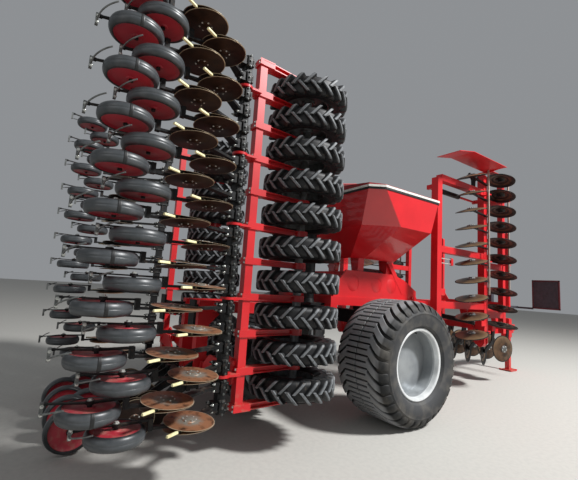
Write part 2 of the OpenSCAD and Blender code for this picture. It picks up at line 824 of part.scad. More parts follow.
module drawbar() {
    color("#c9202a") {
        plate_yz(-db_x, db_x, [[ch_y1 + seat, db_z], [eye_y - 130, db_z], [eye_y - 130, db_z + db_h],
            [ch_y1 + 260, db_z + db_h], [ch_y1 + 120, rail_z0 + 140], [ch_y1 + seat, rail_z0 + 140]]);
        difference() {
            bx(db_x - 10, jk_x + jk_w / 2 + 15, jk_y - jk_w / 2 - 15, jk_y + jk_w / 2 + 15, db_z - 60,
                db_z + 300);
            translate([jk_x, jk_y, db_z + 100])
                cube([jk_w + 2, jk_w + 2, 600], center = true);
        }
    }
}

module hitch_eye() {
    eye_z = db_z + db_h / 2;
    color("#5a5c5e") {
        difference() {
            union() {
                translate([0, eye_y, eye_z])
                    cylinder(r = eye_r, h = eye_t, center = true);
                translate([0, 0, eye_z - eye_t / 2 + 1])
                    linear_extrude(height = eye_t - 2)
                        polygon([[-70, eye_y - 130 + seat], [70, eye_y - 130 + seat], [45, eye_y], [-45,
                            eye_y]]);
            }
            translate([0, eye_y, eye_z])
                cylinder(r = eye_bore, h = eye_t + 10, center = true);
        }
    }
}

// wheel carrier: cross tube, tapered legs and stub axles
module axle() {
    leg_x = rail_x + 80;
    color("#1d1e20") {
        for (s = [-1, 1]) {
            plate_yz(s * leg_x - 60, s * leg_x + 60, [[-75, tw_r - 75], [75, tw_r - 75], [75, tw_r + 60],
                [170, rail_z0 - seat], [-170, rail_z0 - seat], [-75, tw_r + 60]]);
            pin_x(0, tw_r, min(s * leg_x, s * tw_x), max(s * leg_x, s * tw_x), stub_r);
        }
        bx(-leg_x, leg_x, -90, 90, 960, 1120);
    }
}

// transport rim: barrel, dished disc with round holes, and hub cap
module rim() {
    w = tw_rim_w;
    r = tw_rim_r;
    bore = stub_r + run_gap;
    lip = 13;
    // flange that follows the tyre's bead, bead seat and well
    flange = [[r + 4, -w - lip], [r + lip, -w - lip], [r + lip, -w - 9], [r - seat, -w + 10], [r - seat,
        -w + 50],
        [r - 20, -w + 80]];
    color("#b8bcbe") {
        translate([tw_x, 0, tw_r])
            rotate([0, 90, 0])
                difference() {
                    rotate_extrude($fn = 72)
                        polygon(concat([[bore, -60], [hub_r, -60], [hub_r, 62], [250, 84], [r - 38, 50],
                            [r - 34, -w + 60], [r - 12, -w]], flange, [for (i = [5:-1:0]) [flange[i][0],
                                -flange[i][1]]],
                            [[r - 12, w], [r - 34, w - 50], [r - 38, 62], [250, 98], [hub_r + 30, 84],
                            [hub_r - 30, 130], [hub_r - 50, 150], [0, 150], [0, 5], [bore, 5]]));
                    for (i = [0:9]) {
                        rotate([0, 0, i * 36])
                            translate([hub_r + 75, 0, 40])
                                cylinder(r = 17, h = 90);
                    }
                }
    }
}

// wide flotation tyre with round shoulders; its tread is left plain
module tyre() {
    h = tw_w / 2;
    c = tw_shoulder;
    color("#1b1c1e") {
        translate([tw_x, 0, tw_r])
            rotate([0, 90, 0])
                rotate_extrude($fn = 72)
                    polygon(both(concat([[tw_rim_r, tw_rim_w - 10], [tw_rim_r + 16, tw_rim_w + 12],
                        [tw_rim_r + 60, h - 18], [(tw_rim_r + tw_r) / 2, h]],
                        arc(tw_r - c - 6, h - c, c, 80, 10, 4), [[tw_r, h / 3]])));
    }
}

// hopper: upright walls with cut corners over a funnel, drawn in by g all round
module hopper_form(g) {
    hull() {
        hopper_slice(hp_z1 - 2, hp_x - g, hp_y0 + g, hp_y1 - g, 110);
        hopper_slice(hp_z0, hp_x - g, hp_y0 + g + 60, hp_y1 - g, 260);
    }
    hull() {
        hopper_slice(hp_z0, hp_x - g, hp_y0 + g + 60, hp_y1 - g, 260);
        hopper_slice(hp_zf + g, hp_xf - g, hp_y0 + 260 + g, hp_y1 - 200 - g, 100);
    }
}

module hopper_slice(z, x, y0, y1, corner) {
    translate([0, 0, z])
        linear_extrude(height = 4)
            polygon(hopper_plan(x, y0, y1, corner));
}

function hopper_plan(x, y0, y1, c) = [[-x + c, y0], [x - c, y0], [x, y0 + c * 1.4], [x, y1 - c], [x - c, y1],
    [-x + c, y1], [-x, y1 - c], [-x, y0 + c * 1.4]];

module hopper() {
    color("#c9202a") {
        difference() {
            hopper_form(0);
            translate([0, 0, 1])
                hopper_form(hp_t);
            bx(-hp_x - 1, hp_x + 1, hp_y0 - 1, hp_y1 + 1, hp_z1 - 1, hp_z1 + 10);
        }
        for (s = [-1, 1]) {
            for (y = [-60, 460]) {
                plate_xz(y - 50, y + 50, [[s * 470, deck_z + seat], [s * 575, deck_z + seat],
                    [s * (rail_x + 26), hp_zf + 3], [s * 440, hp_zf + 3]]);
            }
        }
    }
}

module hopper_rim() {
    color("#e6e4e0") {
        difference() {
            hopper_ring(hp_z1 - 1 + seat, hp_rim_h, -12, 114);
            hopper_ring(hp_z1 - 10, hp_rim_h + 40, 20, 102);
        }
    }
}

module hopper_ring(z, h, g, corner) {
    translate([0, 0, z])
        linear_extrude(height = h)
            polygon(hopper_plan(hp_x - g, hp_y0 + g, hp_y1 - g, corner));
}

// roll cover: an arched sheet over the rim
module hopper_cover() {
    z0 = hp_z1 - 1 + hp_rim_h + 2 * seat;
    half = hp_x - 10;
    edge = 14;
    r = (half * half + cover_rise * cover_rise) / (2 * cover_rise);
    swing = asin(half / r);
    color("#8f1a20") {
        intersection() {
            hopper_ring(z0, cover_rise + edge + 1, 10, 104);
            plate_xz(hp_y0, hp_y1, concat([[half + 1, z0 - 1]],
                arc(0, z0 + edge + cover_rise - r, r, 90 - swing, 90 + swing, 10), [[-half - 1, z0 - 1]]));
        }
    }
}

// fan: round housing with an outlet duct and an intake ring
module fan() {
    color("#8c8f92") {
        difference() {
            union() {
                pin_y(420, 1500, 160, 400, 160);
                pin_y(420, 1500, 110, 162, 90);
                bx(300, 540, 170, 390, rail_z0 + rail_h + seat, 1420);
            }
            pin_y(420, 1500, 100, 380, 70);
        }
        bx(-180, 310, 230, 330, 1440, 1540);
    }
}

// seed towers behind the hopper, each with a round distributor head
module seed_pipes() {
    color("#2a2b2d") {
        for (s = [-1, 1]) {
            bx(s * 380 - 130, s * 380 + 130, -760, ch_y0 - seat, rf_z1 + 5, rf_z1 + 35);
            translate([s * 380, -700, rf_z1 + 20])
                rotate_extrude()
                    polygon([[0, 0], [75, 0], [60, 60], [60, 830], [90, 880],
                        [175, 900], [175, 950], [120, 985], [0, 990]]);
        }
    }
}

// centre part of the disc harrow: two beams hung from the rails
module disc_frame_c() {
    color("#c9202a") {
        for (y = [dc_y1, dc_y2]) {
            bx(-dc_x, dc_x, y, y + dc_w, dc_z, dc_z + dc_w);
        }
        for (s = [-1, 1]) {
            plate_yz(s * 540 - 40, s * 540 + 40, [[dc_y1, dc_z + 90], [dc_y1 + 160, dc_z + 90],
                [dc_y1 + 220, dc_z + 220],
                [dc_y2 - 120, dc_z + 220], [dc_y2 - 60, dc_z + 90], [dc_y2 + dc_w, dc_z + 90],
                [dc_y2 + dc_w, rail_z0 - seat], [dc_y1, rail_z0 - seat]]);
        }
    }
}

// dished harrow disc with its hub, axis along z
module harrow_disc() {
    face = [for (i = [0:3]) [hd_r * i / 3, hd_bend - sqrt(hd_bend * hd_bend - pow(hd_r * i / 3, 2))]];
    mid = face[3][1] / 2;
    translate([0, 0, mid])
        mirror([0, 0, 1])
            rotate_extrude()
                polygon(concat([for (p = face) [p[0], p[1] - 3]], [for (i = [3:-1:1]) [face[i][0],
                    face[i][1] + 3]],
                    [[52, 22], [30, 30], [0, 30]]));
}

// discs and arms of the centre, two rows that throw opposite ways
module harrow_discs_c() {
    rows = [[dc_y1, dc_y1 - 200, 1], [dc_y2, dc_y2 - 200, -1]];
    color("#8a6a50") {
        for (i = [0:dc_n - 1]) {
            x = (i - (dc_n - 1) / 2) * hd_gap;
            // beam place, disc place, throw
            for (r = rows) {
                ax = x + r[2] * 42;
                plate_yz(ax - 8, ax + 8, [[r[0] + 10, dc_z - seat], [r[0] + 85, dc_z - seat],
                    [r[0] + 40, dc_hub_z + 120], [r[1] + 20, dc_hub_z - 24], [r[1] - 26, dc_hub_z - 10],
                    [r[1] - 20, dc_hub_z + 26], [r[0] - 20, dc_hub_z + 150]]);
                pin_x(r[1], dc_hub_z, min(x, ax + r[2] * 8), max(x, ax + r[2] * 8), 30);
                translate([x, r[1], dc_hub_z])
                    rotate([0, -r[2] * 90, r[2] * hd_turn])
                        harrow_disc();
            }
        }
    }
}

// frame of the right disc wing, folded
module disc_wing() {
    fw_x1 = fw_x + fw_w;
    beam = 45;
    color("#c9202a") {
        bx(fw_x, fw_x1, 980, 1080, fw_z0, fw_z2);
        plate_yz(fw_x, fw_x1, concat([[2170, fw_z0], [2270, fw_z0]],
            arc(2230, fw_z1 - 40, 40, 0, 90, 3), [[2170, fw_z1]]));
        bx(fw_x + 10, fw_x1 - 10, fw_y3, fw_y3 + 80, fw_z0 + 60, fw_z1);
        // rear bars stand between the rear discs, front bars between the front discs
        for (i = [1, 4, 8]) {
            z = hd_z0 + (i + 0.5) * hd_gap;
            bx(fw_x + 4, fw_x1 - 4, 1079, 2171, z - beam, z + beam);
            plate_yz(fw_x + 40, fw_x + 60, [[1079, z - beam + 1], [1079, z - beam - 90], [1200,
                z - beam + 1]]);
        }
        for (i = [1, 4, 8]) {
            z = hd_z0 + i * hd_gap;
            bx(fw_x + 14, fw_x1 - 14, 2269, fw_y3 + 1, z - beam, z + beam);
        }
        for (c = [fh_y1, fh_y2]) {
            for (y = [c - 24 - hinge_t - hinge_gap, c + 24 + hinge_gap]) {
                disc_hinge(y);
            }
        }
        ears(fc_x1, fw_x1 + 2, fc_y, fc_z1, 40);
        bx(fw_x1 - 2, fw_x1 + 14, fc_y - eye_w / 2 - ear_gap - ear_t, 2190, fc_z1 - 38, fc_z1 + 38);
        fork_bracket();
        depth_cylinder(fw_x - 70, hd_z0 + 8 * hd_gap);
    }
}

// hinge plate of a disc wing
module disc_hinge(y) {
    difference() {
        union() {
            plate_xz(y, y + hinge_t, [[fh_x - 50, fh_z], [fw_x, fw_z0 + 60], [fw_x + fw_w, fw_z0 + 60],
                [fw_x + fw_w, fh_z + 10], [fh_x + 50, fh_z - 10]]);
            pin_y(fh_x, fh_z, y, y + hinge_t, 50);
        }
        pin_y(fh_x, fh_z, y - 1, y + hinge_t + 1, fh_r + run_gap);
    }
}

// forked rest on the top bar
module fork_bracket() {
    y = hd_y1 + hd_r + 95;
    z = hd_z0 + 8.5 * hd_gap + 43;
    plate_yz(fw_x + 42, fw_x + 58, [[y - 40, z], [y + 40, z], [y + 50, z + 110], [y + 140, z + 170],
        [y + 110, z + 190], [y + 10, z + 150], [y - 100, z + 210], [y - 130, z + 190], [y - 50, z + 110]]);
}

// hydraulic ram that sets the working depth, beside the beams
module depth_cylinder(x, z) {
    pin_y(x, z, 1190, 1760, 34);
    pin_y(x, z, 1740, 2190, 17);
    pin_y(x, z, 1150, 1200, 24);
    bx(x - 30, fw_x + 2, 1010, 1050, z - 30, z + 30);
    bx(x - 14, x + 14, 1040, 1160, z - 22, z + 22);
    bx(x - 28, fw_x + 2, 2185, 2225, z - 28, z + 28);
}

module harrow_discs() {
    x1 = fw_x + fw_w + seat;
    rows = [[2220, hd_y1, 0, 1], [fw_y3 + 40, hd_y2, hd_gap / 2, -1]];
    color("#8a6a50") {
        for (i = [0:hd_n - 1]) {
            // beam place, disc place, rise, throw
            for (r = rows) {
                z = hd_z0 + i * hd_gap + r[2];
                x0 = r[0] > hd_y2 ? x1 - 10 : x1;
                translate([0, 0, z - 8])
                    linear_extrude(height = 16)
                        polygon([[x0, r[0] - 38], [x0, r[0] + 38], [x0 + 34, r[0] + 38],
                            [hd_x - 4, r[1] + 150], [hd_x + 26, r[1] + 10], [hd_x + 20, r[1] - 24],
                            [hd_x - 20, r[1] - 24], [hd_x - 30, r[1] + 90]]);
                translate([hd_x, r[1], z - 26])
                    cylinder(r = 30, h = 52);
                translate([hd_x, r[1], z])
                    rotate([r[3] * hd_turn, 0, 0])
                        harrow_disc();
            }
        }
    }
}

// top deflector sheet with its bent flap, and the guard bars before the discs
module deflector() {
    t = 6;
    z1 = fw_z1 + 45;
    x1 = fw_x + fw_w;
    guard = 18;
    guard_x = 1040;
    color("#c9202a") {
        plate_yz(x1 - 10, 1280, [[2200, z1], [1300, z1], [960, z1 - 75], [957, z1 - 69], [1299, z1 + t],
            [2200, z1 + t]]);
        plate_xz(2178, 2188, [[fw_x + 10, fw_z1 + seat], [x1 - 5, fw_z1 + seat], [1200, z1 + 1],
            [fw_x + 10, z1 + 1]]);
        for (y = [2110, 2725]) {
            bx(guard_x, guard_x + guard, y, y + guard, 1420, z1 + 1);
        }
        bx(x1 - 5, guard_x + guard, 2130, 2743, z1, z1 + t);
        for (z = [1905, 2935]) {
            bx(x1 + seat, guard_x + guard, 2171, 2171 + guard, z, z + guard);
            bx(guard_x, guard_x + guard, 2127, 2172 + guard, z, z + guard);
            bx(x1 - 10 + seat, guard_x + guard, fw_y3 + 2, fw_y3 + 2 + guard, z, z + guard);
            bx(guard_x, guard_x + guard, 2742, fw_y3 + 3 + guard, z, z + guard);
        }
    }
}

// rear lamp boards on a cross rail
module light_boards() {
    y0 = cb_y - 62;
    color("#2a2b2d") {
        for (s = [-1, 1]) {
            bx(s * 480 - 70, s * 480 + 70, y0, y0 + 22, 900, 1180);
            bx(s * 330 - 170, s * 330 + 170, y0 + 21, y0 + 42, 1060, 1120);
            bx(s * rf_x - 30, s * rf_x + 30, y0 + 21, rf_y0 - seat, 1060, 1120);
        }
    }
}

// grey guard board in a folded frame on a front outrigger
module front_board() {
    color("#3c3e42") {
        bx(870, 1270, 4002, 4008, 1268, 1732);
        for (x = [860, 1262]) {
            bx(x, x + 18, 3994, 4014, 1250, 1750);
        }
        for (z = [1250, 1732]) {
            bx(861, 1279, 3995, 4013, z, z + 18);
        }
        bx(560, 870, 3984, 4009, 1232, 1264);
        bx(560, 620, ch_y1 + seat, 4000, 1230, 1270);
    }
}

module valve_block() {
    color("#3c3e42") {
        bx(200, 340, ch_y1 + seat, 3690, 1190, 1500);
        for (i = [0:3]) {
            pin_x(3650, 1240 + i * 65, 150, 205, 18);
            pin_y(270, 1240 + i * 65, 3688, 3730, 22);
        }
    }
}

// parking jack: inner tube and foot plate with turned-up ends
module jack_leg() {
    foot = 110;
    color("#c9202a") {
        bx(jk_x - jk_w / 2, jk_x + jk_w / 2, jk_y - jk_w / 2, jk_y + jk_w / 2, 12, db_z + 310);
        plate_yz(jk_x - foot, jk_x + foot, concat(
            [for (p = [[0, 0], [25, 25], [16, 32], [-6, 14]]) [jk_y + foot + p[0], p[1]]],
            [for (p = [[-6, 14], [16, 32], [25, 25], [0, 0]]) [jk_y - foot - p[0], p[1]]]));
    }
}

// cylinder barrel with its foot eye, end cap and gland
module barrel(x0, z0, x1, z1, y, len) {
    neck_r = eye_w / 2 - 3;
    color("#1d1e20") {
        translate([x0, y, z0])
            rotate([0, atan2(x1 - x0, z1 - z0), 0]) {
                difference() {
                    union() {
                        rotate_extrude()
                            polygon([[0, 28], [neck_r, 28], [neck_r, cyl_neck], [cyl_r - 8, cyl_neck],
                                [cyl_r + 3, cyl_neck + 14], [cyl_r + 3, cyl_neck + 38],
                                [cyl_r, cyl_neck + 40], [cyl_r, len - 44], [cyl_r + 5, len - 42],
                                [cyl_r + 5, len - 8], [cyl_r - 4, len], [0, len]]);
                        rotate([90, 0, 0])
                            cylinder(r = eye_w, h = eye_w, center = true);
                    }
                    rotate([90, 0, 0])
                        cylinder(r = rod_r + run_gap, h = eye_w + 14, center = true);
                    translate([0, 0, cyl_neck + 22])
                        cylinder(r = rod_r + run_gap, h = len);
                }
            }
    }
}

// cylinder rod with its eye
module rod(x0, z0, x1, z1, y, start) {
    len = sqrt((x1 - x0) * (x1 - x0) + (z1 - z0) * (z1 - z0));
    color("#b8bcbe") {
        translate([x0, y, z0])
            rotate([0, atan2(x1 - x0, z1 - z0), 0]) {
                translate([0, 0, start])
                    cylinder(r = rod_r, h = len - start);
                translate([0, 0, len])
                    rotate([90, 0, 0])
                        cylinder(r = eye_w - 2, h = eye_w, center = true);
            }
    }
}

module rear_barrel() {
    barrel(rc_x0, rc_z0, rc_x1, rc_z1, rc_y, rc_len);
}

module rear_rod() {
    rod(rc_x0, rc_z0, rc_x1, rc_z1, rc_y, 110);
}

module front_barrel() {
    barrel(fc_x0, fc_z0, fc_x1, fc_z1, fc_y, fc_len);
}

module front_rod() {
    rod(fc_x0, fc_z0, fc_x1, fc_z1, fc_y, 110);
}

place() main_frame();
place() drawbar();
place() hitch_eye();
place() axle();
place() hopper();
place() hopper_rim();
place() hopper_cover();
place() fan();
place() seed_pipes();
place() rear_frame();
place() packer_tyres_c();
place() packer_axle_c();
place() coulters_c();
place() seed_discs_c();
place() press_wheels_c();
place() disc_frame_c();
place() harrow_discs_c();
place() light_boards();
place() front_board();
place() valve_block();
place() jack_leg();
place() side(1) tyre();  // tyre_r
place() side(1) rim();  // rim_r
place() side(1) wing_frame();  // wing_frame_r
place() side(1) packer_tyres();  // packer_tyres_r
place() side(1) packer_axle();  // packer_axle_r
place() side(1) coulters();  // coulters_r
place() side(1) seed_discs();  // seed_discs_r
place() side(1) press_wheels();  // press_wheels_r
place() side(1) tines();  // tines_r
place() side(1) disc_wing();  // disc_wing_r
place() side(1) harrow_discs();  // harrow_discs_r
place() side(1) deflector();  // deflector_r
place() side(1) rear_barrel();  // rear_barrel_r
place() side(1) rear_rod();  // rear_rod_r
place() side(1) front_barrel();  // front_barrel_r
place() side(1) front_rod();  // front_rod_r
place() side(-1) tyre();  // tyre_l
place() side(-1) rim();  // rim_l
place() side(-1) wing_frame();  // wing_frame_l
place() side(-1) packer_tyres();  // packer_tyres_l
place() side(-1) packer_axle();  // packer_axle_l
place() side(-1) coulters();  // coulters_l
place() side(-1) seed_discs();  // seed_discs_l
place() side(-1) press_wheels();  // press_wheels_l
place() side(-1) tines();  // tines_l
place() side(-1) disc_wing();  // disc_wing_l
place() side(-1) harrow_discs();  // harrow_discs_l
place() side(-1) deflector();  // deflector_l
place() side(-1) rear_barrel();  // rear_barrel_l
place() side(-1) rear_rod();  // rear_rod_l
place() side(-1) front_barrel();  // front_barrel_l
place() side(-1) front_rod();  // front_rod_l
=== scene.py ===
"""Folded seed drill: treads, wheels, discs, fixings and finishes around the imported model."""

import json
import math

import bpy
from mathutils import Matrix, Vector


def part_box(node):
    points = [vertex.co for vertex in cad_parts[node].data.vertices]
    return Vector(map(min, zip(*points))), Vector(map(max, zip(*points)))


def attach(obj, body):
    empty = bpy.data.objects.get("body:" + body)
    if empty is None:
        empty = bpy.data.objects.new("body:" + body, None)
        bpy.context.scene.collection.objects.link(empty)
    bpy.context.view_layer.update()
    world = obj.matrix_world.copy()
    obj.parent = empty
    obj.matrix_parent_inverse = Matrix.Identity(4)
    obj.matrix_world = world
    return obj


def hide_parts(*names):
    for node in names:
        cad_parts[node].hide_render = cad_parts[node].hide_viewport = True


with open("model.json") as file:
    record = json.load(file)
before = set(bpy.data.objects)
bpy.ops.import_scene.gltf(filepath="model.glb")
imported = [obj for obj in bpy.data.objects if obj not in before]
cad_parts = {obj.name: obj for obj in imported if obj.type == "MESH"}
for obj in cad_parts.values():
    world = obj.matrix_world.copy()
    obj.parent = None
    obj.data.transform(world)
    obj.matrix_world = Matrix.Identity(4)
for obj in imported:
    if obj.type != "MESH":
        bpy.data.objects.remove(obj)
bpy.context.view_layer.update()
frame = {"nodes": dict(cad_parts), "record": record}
NODES = frame["nodes"]
MM = 0.001
# The box of the axle and its legs begins this far behind the axle, in millimetres
AXLE_BEHIND = 170
AXLE_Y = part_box("axle")[0].y + AXLE_BEHIND * MM
SIDES = {"r": 1.0, "l": -1.0}
MIRROR = Matrix.Scale(-1.0, 4, (1, 0, 0))

# Camera, fitted to the tyre, beam and boot places of the photograph
IMAGE_W = 578
FOCAL_PX = 363.2
SENSOR_MM = 36.0
EYE = Vector((3.814, AXLE_Y - 3.358, 1.353))
YAW = math.radians(55.873)
PITCH = math.radians(7.343)
ROLL = math.radians(3.667)


def aim_camera():
    """The photograph's eye point and direction."""
    ahead = Vector((-math.sin(YAW) * math.cos(PITCH), math.cos(YAW) * math.cos(PITCH), math.sin(PITCH)))
    level = Vector((math.cos(YAW), math.sin(YAW), 0.0))
    lift = level.cross(ahead)
    right = level * math.cos(ROLL) + lift * math.sin(ROLL)
    up = lift * math.cos(ROLL) - level * math.sin(ROLL)
    data = bpy.data.cameras.new("photo_camera")
    data.sensor_width = SENSOR_MM
    data.lens = SENSOR_MM * FOCAL_PX / IMAGE_W
    data.clip_start = 0.05
    data.clip_end = 200.0
    camera = bpy.data.objects.new("photo_camera", data)
    bpy.context.scene.collection.objects.link(camera)
    turn = Matrix((right, up, -ahead)).transposed()
    camera.matrix_world = Matrix.Translation(EYE) @ turn.to_4x4()
    bpy.context.scene.camera = camera


aim_camera()


# Materials

def linear(code):
    """sRGB hex to a linear colour."""
    parts = [int(code[i:i + 2], 16) / 255.0 for i in (1, 3, 5)]
    return tuple(c / 12.92 if c <= 0.04045 else ((c + 0.055) / 1.055) ** 2.4 for c in parts) + (1.0,)


def add(tree, kind, inputs=None, **settings):
    """Adds one node with its settings; each input gets a value or a link."""
    node = tree.nodes.new(kind)
    for key, value in settings.items():
        setattr(node, key, value)
    for key, value in (inputs or {}).items():
        if isinstance(value, bpy.types.NodeSocket):
            tree.links.new(value, node.inputs[key])
        else:
            node.inputs[key].default_value = value
    return node


def finish(name, rough, metallic=0.0, coat=0.0):
    """An empty finish: its material, node tree, shader and Object coordinates."""
    mat = bpy.data.materials.new(name)
    mat.use_nodes = True
    tree = mat.node_tree
    shader = tree.nodes["Principled BSDF"]
    shader.inputs["Roughness"].default_value = rough
    shader.inputs["Metallic"].default_value = metallic
    shader.inputs["Coat Weight"].default_value = coat
    place = add(tree, "ShaderNodeTexCoord").outputs["Object"]
    return mat, tree, shader, place


def patches(tree, place, size_mm, low, high):
    """Soft patches of a real size, from 0 where the noise is below low to 1 above high."""
    noise = add(tree, "ShaderNodeTexNoise", {"Vector": place, "Scale": 1000.0 / size_mm, "Detail": 4.0})
    ramp = add(tree, "ShaderNodeMapRange", {"Value": noise.outputs["Fac"], "From Min": low, "From Max": high})
    return ramp.outputs["Result"]


def upward(tree, low=0.35, high=1.0):
    """1 on faces that look up: where dust settles on paint and castings, and where the seed discs get painted
    sunlight.
    """
    normal = add(tree, "ShaderNodeNewGeometry").outputs["Normal"]
    split = add(tree, "ShaderNodeSeparateXYZ", {0: normal})
    ramp = add(tree, "ShaderNodeMapRange", {"Value": split.outputs["Z"], "From Min": low, "From Max": high})
    return ramp.outputs["Result"]


def near_ground(tree, place, top):
    """0.8 at the ground, falling to 0 at a height in metres."""
    split = add(tree, "ShaderNodeSeparateXYZ", {0: place})
    ramp = add(tree, "ShaderNodeMapRange",
               {"Value": split.outputs["Z"], "From Min": top, "From Max": 0.0, "To Max": 0.8})
    return ramp.outputs["Result"]


def ring(tree, low, high):
    """0 to 1 over a band of a wheel's radius, which its mesh carries as an attribute."""
    share = add(tree, "ShaderNodeAttribute", attribute_name="ring").outputs["Fac"]
    ramp = add(tree, "ShaderNodeMapRange", {"Value": share, "From Min": low, "From Max": high})
    return ramp.outputs["Result"]


def grooves(tree, turns):
    """0 to 1 across the fine circles that soil draws on a turning disc."""
    share = add(tree, "ShaderNodeAttribute", attribute_name="ring").outputs["Fac"]
    phase = add(tree, "ShaderNodeMath", {0: share, 1: turns}, operation="MULTIPLY").outputs[0]
    wave = add(tree, "ShaderNodeMath", {0: phase}, operation="SINE").outputs[0]
    ramp = add(tree, "ShaderNodeMapRange", {"Value": wave, "From Min": -0.2, "From Max": 1.0})
    return ramp.outputs["Result"]


def coats(tree, shader, base, *layers):
    """Lays colours over a base, each a hex code with its shares, which are multiplied."""
    colour = linear(base)
    for over, share, *others in layers:
        for other in others:
            share = add(tree, "ShaderNodeMath", {0: share, 1: other}, operation="MULTIPLY").outputs[0]
        laid = add(tree, "ShaderNodeMix", {0: share, 6: colour, 7: linear(over)}, data_type="RGBA")
        colour = laid.outputs[2]
    tree.links.new(colour, shader.inputs["Base Color"])


def grained(tree, shader, place, size_mm, depth_mm):
    """Fine relief of a real grain size."""
    noise = add(tree, "ShaderNodeTexNoise", {"Vector": place, "Scale": 1000.0 / size_mm, "Detail": 3.0})
    relief = {"Height": noise.outputs["Fac"], "Distance": depth_mm * MM, "Strength": 0.6}
    tree.links.new(add(tree, "ShaderNodeBump", relief).outputs["Normal"], shader.inputs["Normal"])


def paint(name, colour, worn, rough, coat, soiled=1.0):
    """Sprayed machine paint: slow changes of tone, patchy dust above and soil near the ground."""
    mat, tree, shader, place = finish(name, rough, 0.0, coat)
    coats(tree, shader, colour,
          (worn, patches(tree, place, 420, 0.35, 0.7)),
          ("#A79A86", upward(tree), patches(tree, place, 60, 0.42, 0.7), 0.35),
          ("#8C7C66", near_ground(tree, place, 0.55), patches(tree, place, 35, 0.5, 0.62), soiled))
    grained(tree, shader, place, 9, 0.25)
    return mat


def cast_black():
    """Black painted castings and arms: satin, dusty on top, brown where soil rubbed."""
    mat, tree, shader, place = finish("black_painted_casting", 0.52)
    shader.inputs["Specular IOR Level"].default_value = 0.28
    coats(tree, shader, "#0A0B0C",
          ("#141517", patches(tree, place, 90, 0.4, 0.7)),
          ("#3C2F25", patches(tree, place, 28, 0.56, 0.66), 0.45),
          ("#7D766A", upward(tree), patches(tree, place, 40, 0.4, 0.7), 0.22))
    grained(tree, shader, place, 7, 0.5)
    return mat


def packer_rubber():
    """Moulded tyre rubber: near black casing, lug tops rubbed grey by the road and by soil."""
    mat, tree, shader, place = finish("moulded_packer_rubber", 0.58)
    coats(tree, shader, "#0F1012",
          ("#191A1C", patches(tree, place, 70, 0.35, 0.7)),
          ("#6B6E71", ring(tree, 0.95, 0.985), patches(tree, place, 22, 0.15, 0.5)),
          ("#5A5046", patches(tree, place, 30, 0.6, 0.7), 0.5))
    grained(tree, shader, place, 6, 0.6)
    return mat


def road_rubber():
    """Flotation tyre rubber: dark grooves, bars and shoulders greyed by dust."""
    mat, tree, shader, place = finish("moulded_road_rubber", 0.7)
    coats(tree, shader, "#111213",
          ("#7A7B7D", ring(tree, 0.952, 0.985)),
          ("#3C3D3F", ring(tree, 0.93, 0.6)),
          ("#7A746A", patches(tree, place, 120, 0.45, 0.75), 0.35))
    grained(tree, shader, place, 8, 0.6)
    return mat


def press_rubber():
    """Smooth press wheel rubber: grey with bloom, lighter on the crown."""
    mat, tree, shader, place = finish("press_wheel_rubber", 0.38)
    coats(tree, shader, "#1F2224",
          ("#43474A", ring(tree, 0.9, 1.0)),
          ("#56575A", patches(tree, place, 45, 0.4, 0.7), 0.35))
    grained(tree, shader, place, 5, 0.35)
    return mat


def seed_disc_steel():
    """Rolled disc steel: dark rust darkened further as painted shade, a tan of painted sunlight on faces
    turned up, a scoured grey middle shown only on those upper faces, thin bright edge.
    """
    mat, tree, shader, place = finish("scoured_disc_steel", 0.46, 0.5)
    # Painted light: faces turned up get a sunlit tan and the scoured grey middle, faces turned down keep the
    # near black base as painted shade
    above = upward(tree, 0.2, 0.8)
    coats(tree, shader, "#2C1D15",
          ("#150E0B", patches(tree, place, 55, 0.38, 0.66)),
          ("#5A3522", grooves(tree, 90.0), 0.22),
          ("#A27152", above, patches(tree, place, 45, 0.25, 0.5)),
          ("#8B8B82", ring(tree, 0.62, 0.4), patches(tree, place, 38, 0.34, 0.5), above, 0.85),
          ("#C2B298", ring(tree, 0.955, 0.995)))
    grained(tree, shader, place, 4, 0.3)
    return mat


def harrow_disc_steel():
    """Harrow disc sheet: dark rust, a lighter bronze towards the edge on faces turned up, and a cream edge
    where the soil polishes it.
    """
    mat, tree, shader, place = finish("worn_harrow_sheet", 0.4, 0.5)
    coats(tree, shader, "#5C4331",
          ("#2B1E16", patches(tree, place, 75, 0.38, 0.64)),
          # Lighter bronze towards the edge, only on faces turned up
          ("#9A7F60", ring(tree, 0.35, 0.95), upward(tree, -0.3, 0.5), 0.7),
          ("#D8C9AE", ring(tree, 0.95, 0.985)))
    grained(tree, shader, place, 4, 0.3)
    return mat


def plain_metal(name, colour, other, rough, metallic, cloud_mm):
    """Plated, rolled or painted metal with cloudy tone."""
    mat, tree, shader, place = finish(name, rough, metallic)
    coats(tree, shader, colour, (other, patches(tree, place, cloud_mm, 0.35, 0.7)))
    grained(tree, shader, place, 3, 0.1)
    return mat


def moulded(name, colour, other, rough):
    """Moulded plastic, rubber strip, woven sheet or screed with dust in its grain."""
    mat, tree, shader, place = finish(name, rough)
    coats(tree, shader, colour, (other, patches(tree, place, 40, 0.4, 0.75)))
    grained(tree, shader, place, 4, 0.3)
    return mat


# Sprayed frame paint: a soft sheen under dust and soil
RED = paint("red_machine_paint", "#CE1B22", "#B9151C", 0.42, 0.1)
# Baked paint of the pressed wheels: deep and dull, little soil
CRIMSON = paint("crimson_wheel_paint", "#AC2A38", "#86202E", 0.5, 0.05, 0.35)
# Clear lacquer over the hopper's red: mirrors the sky and the ground, no soil at its height
HOPPER_RED = paint("red_hopper_paint", "#D01C23", "#BC161D", 0.26, 0.7, 0.0)
